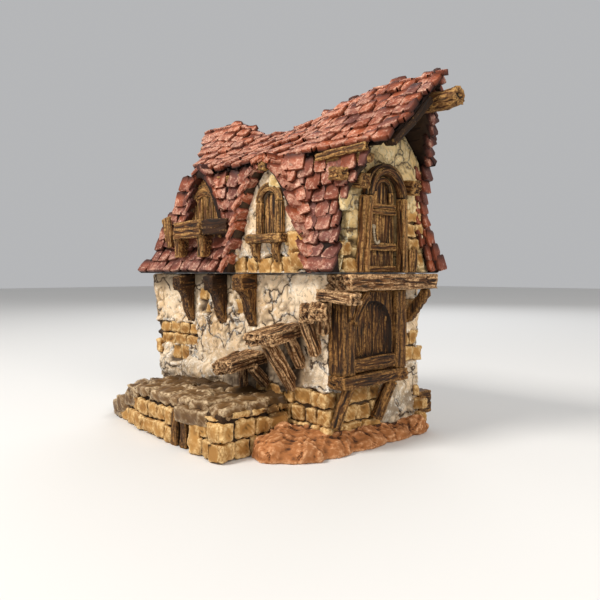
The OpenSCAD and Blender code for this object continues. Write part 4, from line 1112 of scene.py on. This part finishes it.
for a, b in ((5, 15), (14, 24.5)):
    near, far = (Vector((prow_at(h, 1) - 5.2, RIDGE_Y - h, slope_z(prow_at(h, 1) - 5, h) - 6.6))
                 for h in (a, b))
    beam(bm, (None, 3.2, 6.2), near, far, (1, 0, 0), cell=0.9, wave=0.8, tone=1.0, material=1)
kept_in(bm, high=45, axis=0)
# the barge boards are painted darker, as the shade under the prow
grimed_and_shaded(bm, lambda p: 0.6 if p.y < RIDGE_Y - 4.5 else 0)
finished("ridge_log", bm, [upper_wood, dark_wood], "roof", "wood", "ridge_beam")
bm = bmesh.new()
carved_node(bm, "purlins", lengthwise, voxel=0.9, groove=0.45, wave=1.5)
beam(bm, (27, 2.6, 3.4), (-4.5, -2.2, 122.6), (22.2, -2.4, 123.9), cell=0.8, ragged=0.8, groove=0.45,
     tone=0.2)
beam(bm, (9, 5.6, 5.4), (4.5, -1.5, 115.2), (12.6, -5.2, 114.2), cell=0.8, ragged=1.2, rub=4, groove=0.5,
     tone=0.2)
finished("wall_plates", bm, [upper_wood], "roof", "wood", "purlins")

# Upper floor. Wide boards, painted dark, close the lift-off half from below and lie on the parting
# line; the joints between them are carved in.
bm = bmesh.new()
piece = sculpted(cad_copy("upper_floor"), 1.3)
carve(piece, crosswise, joints=[x * 11.0 - 2 for x in range(-10, 12)], groove=0.3)
kept_in(piece, SEAM_Z)
joined(bm, piece, tone=0.5)
finished("floor_boards", bm, [under_wood], "roof", "wood", "upper_floor")

# Gables: plaster over stone like the walls below. The right one has squared stones left and
# right of the door foot and two short boards beside it, all printed as one with the wall.
gable_plaster = painted("gable_plaster", (240, 212, 158), (204, 168, 104), (56, 34, 16), (236, 226, 192),
                        wash_amount=0.92, light_amount=0.85, bump=0.8, pattern=crazed)
DOOR_Y = 24.5  # the middle of the upper door
right_gable_bare = [(-5, 8, 75, 88.5), (39, 54, 78, 104)]
bm = rendered(cad_copy("right_gable"), 0.9, ((RIGHT, right_gable_bare),), 9.0)


def gable_painted_shade(p):
    """Painted shade in the door opening and under the tiles along the verge."""
    in_door = min(10.8 - abs(p.y - DOOR_Y), 118 - p.z)
    at_verge = RIDGE_Y - skirt_half(p.z) + 2.6 - p.y if p.z < 121 else abs(p.y - RIDGE_Y) - 0.9 * (156 - p.z)
    return max(held(in_door + 0.5, 0, 0.9), held(at_verge, 0, 0.85))


grimed_and_shaded(bm, gable_painted_shade)
for patch in right_gable_bare:
    stonework(bm, [(9, patch[0]), (9, patch[1])], patch, 9.0, row=7.4, depth=3, lengths=(6.5, 9),
              hidden=lambda p, z: p.y < RIDGE_Y - skirt_half(z) + 6.5)
block(bm, (8.6, 1.8, 103.6), (3, 7.0, 6.8), 0, cell=1.0, rough=0.4, soft=5, material=0, tone=0.8)
for y, high in ((42.6, 10.5), (45.8, 11.5)):
    beam(bm, (high, 3, 2.6), (10.1, y, 75.2), (10.1, y + 0.4, 75.2 + high), (1, 0, 0), cell=0.8, material=2)
kept_in(bm, ROOF_FOOT, ROOF_TOP)
finished("gable_right", bm, [gable_plaster, field_stone, upper_wood], "roof", "plaster", "right_gable")
left_gable_bare = [(4, 30, 78, 96), (34, 50, 98, 112)]
bm = rendered(cad_copy("left_gable"), 1.0, ((LEFT, left_gable_bare),), 5.0)
for patch in left_gable_bare:
    stonework(bm, lambda z: [(left_verge(z) + 4, patch[1]), (left_verge(z) + 4, patch[0])], patch, 5.0)
kept_in(bm, ROOF_FOOT, ROOF_TOP)
finished("gable_left", bm, [gable_plaster, field_stone], "roof", "plaster", "left_gable")

# Door: upright boards with two ledges and a small arched light, hung in a frame of split posts
# under a double bent ring; stub beams stand out of the wall where the ring springs.
SPRING_Z = 107.2  # where the ring springs from its posts


def ring(bm, centre, radius, wide, thick, facing="x", squash=1.0, share=1.0, **style):
    """A timber bent along the middle share of a half circle, from its right foot to its left."""
    def bend(p):
        p = Vector((p.x + math.pi * radius * (1 - share) / 2, p.y, p.z))
        angle, reach = p.x / radius, radius + p.y
        flat, high = -reach * math.cos(angle), reach * math.sin(angle) * squash
        if facing == "x":
            return Vector((centre[0] + p.z, centre[1] - flat, centre[2] + high))
        return Vector((centre[0] + flat, centre[1] - p.z, centre[2] + high))

    timber(bm, (math.pi * radius * share, wide, thick), bend, **style)


bm = bmesh.new()
for hand, spread, slim in ((-1, 3.4, 2.4), (1, 0.0, 1.7)):
    y = DOOR_Y + hand * 11.2
    beam(bm, (SPRING_Z - SEAM_Z, 2.7, 4.2), (10.9, y - spread, SEAM_Z), (10.9, y - spread * 0.15, SPRING_Z),
         (1, 0, 0), cell=0.8, wave=0.6, tone=0.0)
    beam(bm, (SPRING_Z - SEAM_Z, slim, 3.2), (10.6, y + hand * 2.4 - spread, SEAM_Z),
         (10.6, y + hand * 2.3 - spread * 0.2, SPRING_Z + 1), (1, 0, 0), cell=0.8, wave=0.6, tone=0.3)
    beam(bm, (6.2, 6.4, 6.4), (8.6, DOOR_Y + hand * 17.6, 113), (14.6, DOOR_Y + hand * 17.8, 112.4),
         cell=0.8, ragged=1.0, rub=3, groove=0.5, tone=0.2)
ring(bm, (10.9, DOOR_Y, SPRING_Z), 11.2, 2.8, 4.2, cell=0.8, wave=0.5, groove=0.25, tone=0.0)
ring(bm, (10.6, DOOR_Y, SPRING_Z), 13.4, 1.8, 3.2, cell=0.8, wave=0.5, groove=0.25, tone=0.2)
kept_in(bm, ROOF_FOOT, ROOF_TOP)
finished("door_surround", bm, [upper_wood], "roof", "wood", "door_frame")
bm = bmesh.new()
carved_node(bm, "door_leaf", lambda p: (p.z, p.y, p.x), voxel=0.6, joints=(18.6, 22.4, 26.6, 30.6),
            wave=0.6, tone=0.75)
beam(bm, (30, 3.4, 1.5), (8.6, 12.4, 75.4), (8.6, 14.6, 105.4), (1, 0, 0), cell=0.8, wave=0.6, tone=0.6)
for z, high, out, wide in ((103.4, 2.3, 8.9, 18.6), (100.9, 2.2, 8.9, 19), (86.0, 3.4, 9.0, 21),
                           (76.6, 2.6, 9.0, 21.8)):
    beam(bm, (wide, high, 1.8), (out, DOOR_Y + 9.3 - wide, z), (out, DOOR_Y + 9.3, z + uniform(-0.3, 0.3)),
         (1, 0, 0), cell=0.7, ragged=0.5, wave=0.8, tone=0.3)
ring(bm, (8.8, DOOR_Y + 0.4, 109.4), 5.5, 2.4, 1.8, cell=0.7, wave=0.4, tone=0.4)
for hand in (-1, 1):
    beam(bm, (5.4, 2.4, 1.8), (8.8, DOOR_Y + 0.4 + hand * 5.5, 104.4),
         (8.8, DOOR_Y + 0.4 + hand * 5.5, 109.8), (1, 0, 0), cell=0.7, wave=0.4, tone=0.4)
kept_in(bm, ROOF_FOOT, ROOF_TOP)
finished("door_boards", bm, [upper_wood], "roof", "wood", "door_leaf")
# iron ring handle: a round rose and a bent drop with a hooked foot
iron = painted("painted_iron", (150, 132, 104), (110, 92, 68), (40, 30, 22), (236, 224, 200), patch=200,
               light_amount=0.6, roughness=0.45, bump=0.2)
bm = bmesh.new()
lump(bm, (9.9, 17.4, 94.4), (0.9, 1.15, 1.15))
path = [(10.0, 17.3, 93.4), (10.4, 17.0, 91.4), (10.5, 17.3, 89.2), (10.3, 18.4, 87.8), (10.3, 20.0, 87.6),
        (10.0, 21.0, 88.6)]
for a, b in zip(path, path[1:]):
    for k in range(5):
        lump(bm, Vector(a).lerp(b, k / 4), (0.46 + 0.16 * (k % 2),) * 3)
bm = sculpted(bm, 0.25)
finished("door_handle", bm, [iron], "roof", "wood")

# Left dormer. Weathered boards under a lintel of bent rings close the hood's mouth. A plank box on
# two legs stands out below them, and a single plank leans at the corner of the roof.
bm = bmesh.new()


def lintel_grain(p):
    return (p.x, math.hypot(p.x - LEFT_X, max(0, p.z - 100)), p.y) if p.y < -1.6 else (p.z, p.x, p.y)


carved_node(bm, "left_planks", lintel_grain, voxel=0.6, groove=0.4, wave=0.7, tone=0.35)
for radius, out in ((10.2, -3.2), (12.0, -2.9)):
    ring(bm, (LEFT_X, out, 103.6), radius, 1.7, 1.6, "y", 1.25, 0.62, cell=0.7, wave=0.4, groove=0.2,
         tone=0.0)
for i in range(5):
    x = LEFT_X - 9.4 + i * 4.6
    beam(bm, (uniform(20, 22.5), 3.9, 1.6), (x, -1.9, 92), (x + uniform(-0.3, 0.3), -1.9, 114), (0, -1, 0),
         cell=0.7, wave=0.6)
finished("left_dormer_boards", bm, [upper_wood], "roof", "wood", "left_planks")
bm = bmesh.new()
carved_node(bm, "balcony", lengthwise, voxel=0.7, groove=0.4, wave=1.2, tone=0.4)
beam(bm, (22.5, 8.6, 2.2), (-93.6, -11.6, 95.8), (-71.2, -11.8, 96.4), (0, -1, 0), cell=0.8, ragged=1.2,
     groove=0.5, tone=0.25)
beam(bm, (13.6, 7.6, 2.2), (-71.6, -11.2, 96.8), (-60.2, -5.2, 97.0), (0.45, -0.9, 0), cell=0.8, ragged=1.2,
     groove=0.5, tone=0.9)
for x in (-92.6, -73.4):
    beam(bm, (12, 4, 3.8), (x, -9.2, 82.6), (x, -9.6, 94), (0, -1, 0), cell=0.8, tone=0.5)
# the far plank of the box is painted darker, as the shade on its turned side
grimed_and_shaded(bm, lambda p: 0.6 * held(p.x + 71.4))
finished("plank_box", bm, [upper_wood], "roof", "wood", "balcony")
bm = bmesh.new()
carved_node(bm, "corner_timber", upright, voxel=0.6, groove=0.45, tone=0.3)
finished("corner_plank", bm, [upper_wood], "roof", "wood", "corner_timber")

# Middle dormer: plastered front with stones at its foot, and a narrow boarded shutter in a
# double arched frame on a shelf with two brackets.
WINDOW_X = -28  # the middle of the shutter
middle_bare = [(-58, 2, 74, 82.5), (-17, 0, 80, 93), (-24, -10, 108, 116)]
bm = rendered(cad_copy("middle_wall"), 0.8, ((FRONT, middle_bare),), 6.0)
# the plaster behind the arched frame is painted dark, as the shade in the window's recess
grimed_and_shaded(bm, lambda p: held(7.4 - math.hypot(p.x - WINDOW_X, max(0, p.z - 106)), 0, 0.95) if p.z > 91 else 0)
for patch in middle_bare:
    stonework(bm, [(patch[0], -6), (patch[1], -6)], patch, 6.0, row=6.8, depth=3, proud=0.1,
              lengths=(7, 10),
              hidden=lambda p, z: abs(p.x - MIDDLE_HOOD[0]) > hood_half(MIDDLE_HOOD, z) - 6)
for x, z, wide, high, made_of in ((-23.8, 114.6, 7.6, 6.4, 2), (-52.6, 83.4, 6.5, 6, 0),
                                  (-11.8, 88.4, 6.8, 7.4, 1), (-10.6, 80.4, 8.2, 6.8, 1)):
    block(bm, (x, -6.6, z), (wide, 2.6, high), 0, cell=1.0, rough=0.6, soft=3, material=made_of)
kept_in(bm, ROOF_FOOT, ROOF_TOP)
finished("middle_dormer_front", bm, [plaster, field_stone, gable_plaster], "roof", "plaster", "middle_wall")
bm = bmesh.new()
rings = ((5.5, 2.0, -6.9), (7.5, 1.9, -6.7))
for radius, wide, out in rings:
    ring(bm, (WINDOW_X, out, 106), radius, wide, 2.2, "y", cell=0.7, wave=0.4, tone=0.4)
for hand in (-1, 1):
    for radius, wide, out in rings:
        x = WINDOW_X + hand * radius
        beam(bm, (14, wide, 2.2), (x, out, 92), (x, out, 106), (0, -1, 0), cell=0.7, wave=0.5, tone=0.4)
beam(bm, (5, 4.2, 4.2), (-30, -5.5, 121.6), (-30, -11.2, 121.4), cell=0.8, rub=4, ragged=0.6, tone=0.2)
finished("middle_arched_frame", bm, [upper_wood], "roof", "wood", "middle_frame")
bm = bmesh.new()
carved_node(bm, "middle_shutter", upright, voxel=0.5, joints=(-29.6, -26.4), wave=0.5, tone=0.6)
finished("middle_shutter_boards", bm, [upper_wood], "roof", "wood", "middle_shutter")
bm = bmesh.new()
piece = sculpted(cad_copy("middle_sill"), 0.7)
carve(piece, lambda p: (p.x, p.y, p.z) if p.z > 87.8 else (p.z, p.x, p.y), groove=0.45, tone=0.35)
joined(bm, piece, tone=0.35)
finished("middle_shelf", bm, [upper_wood], "roof", "wood", "middle_sill")
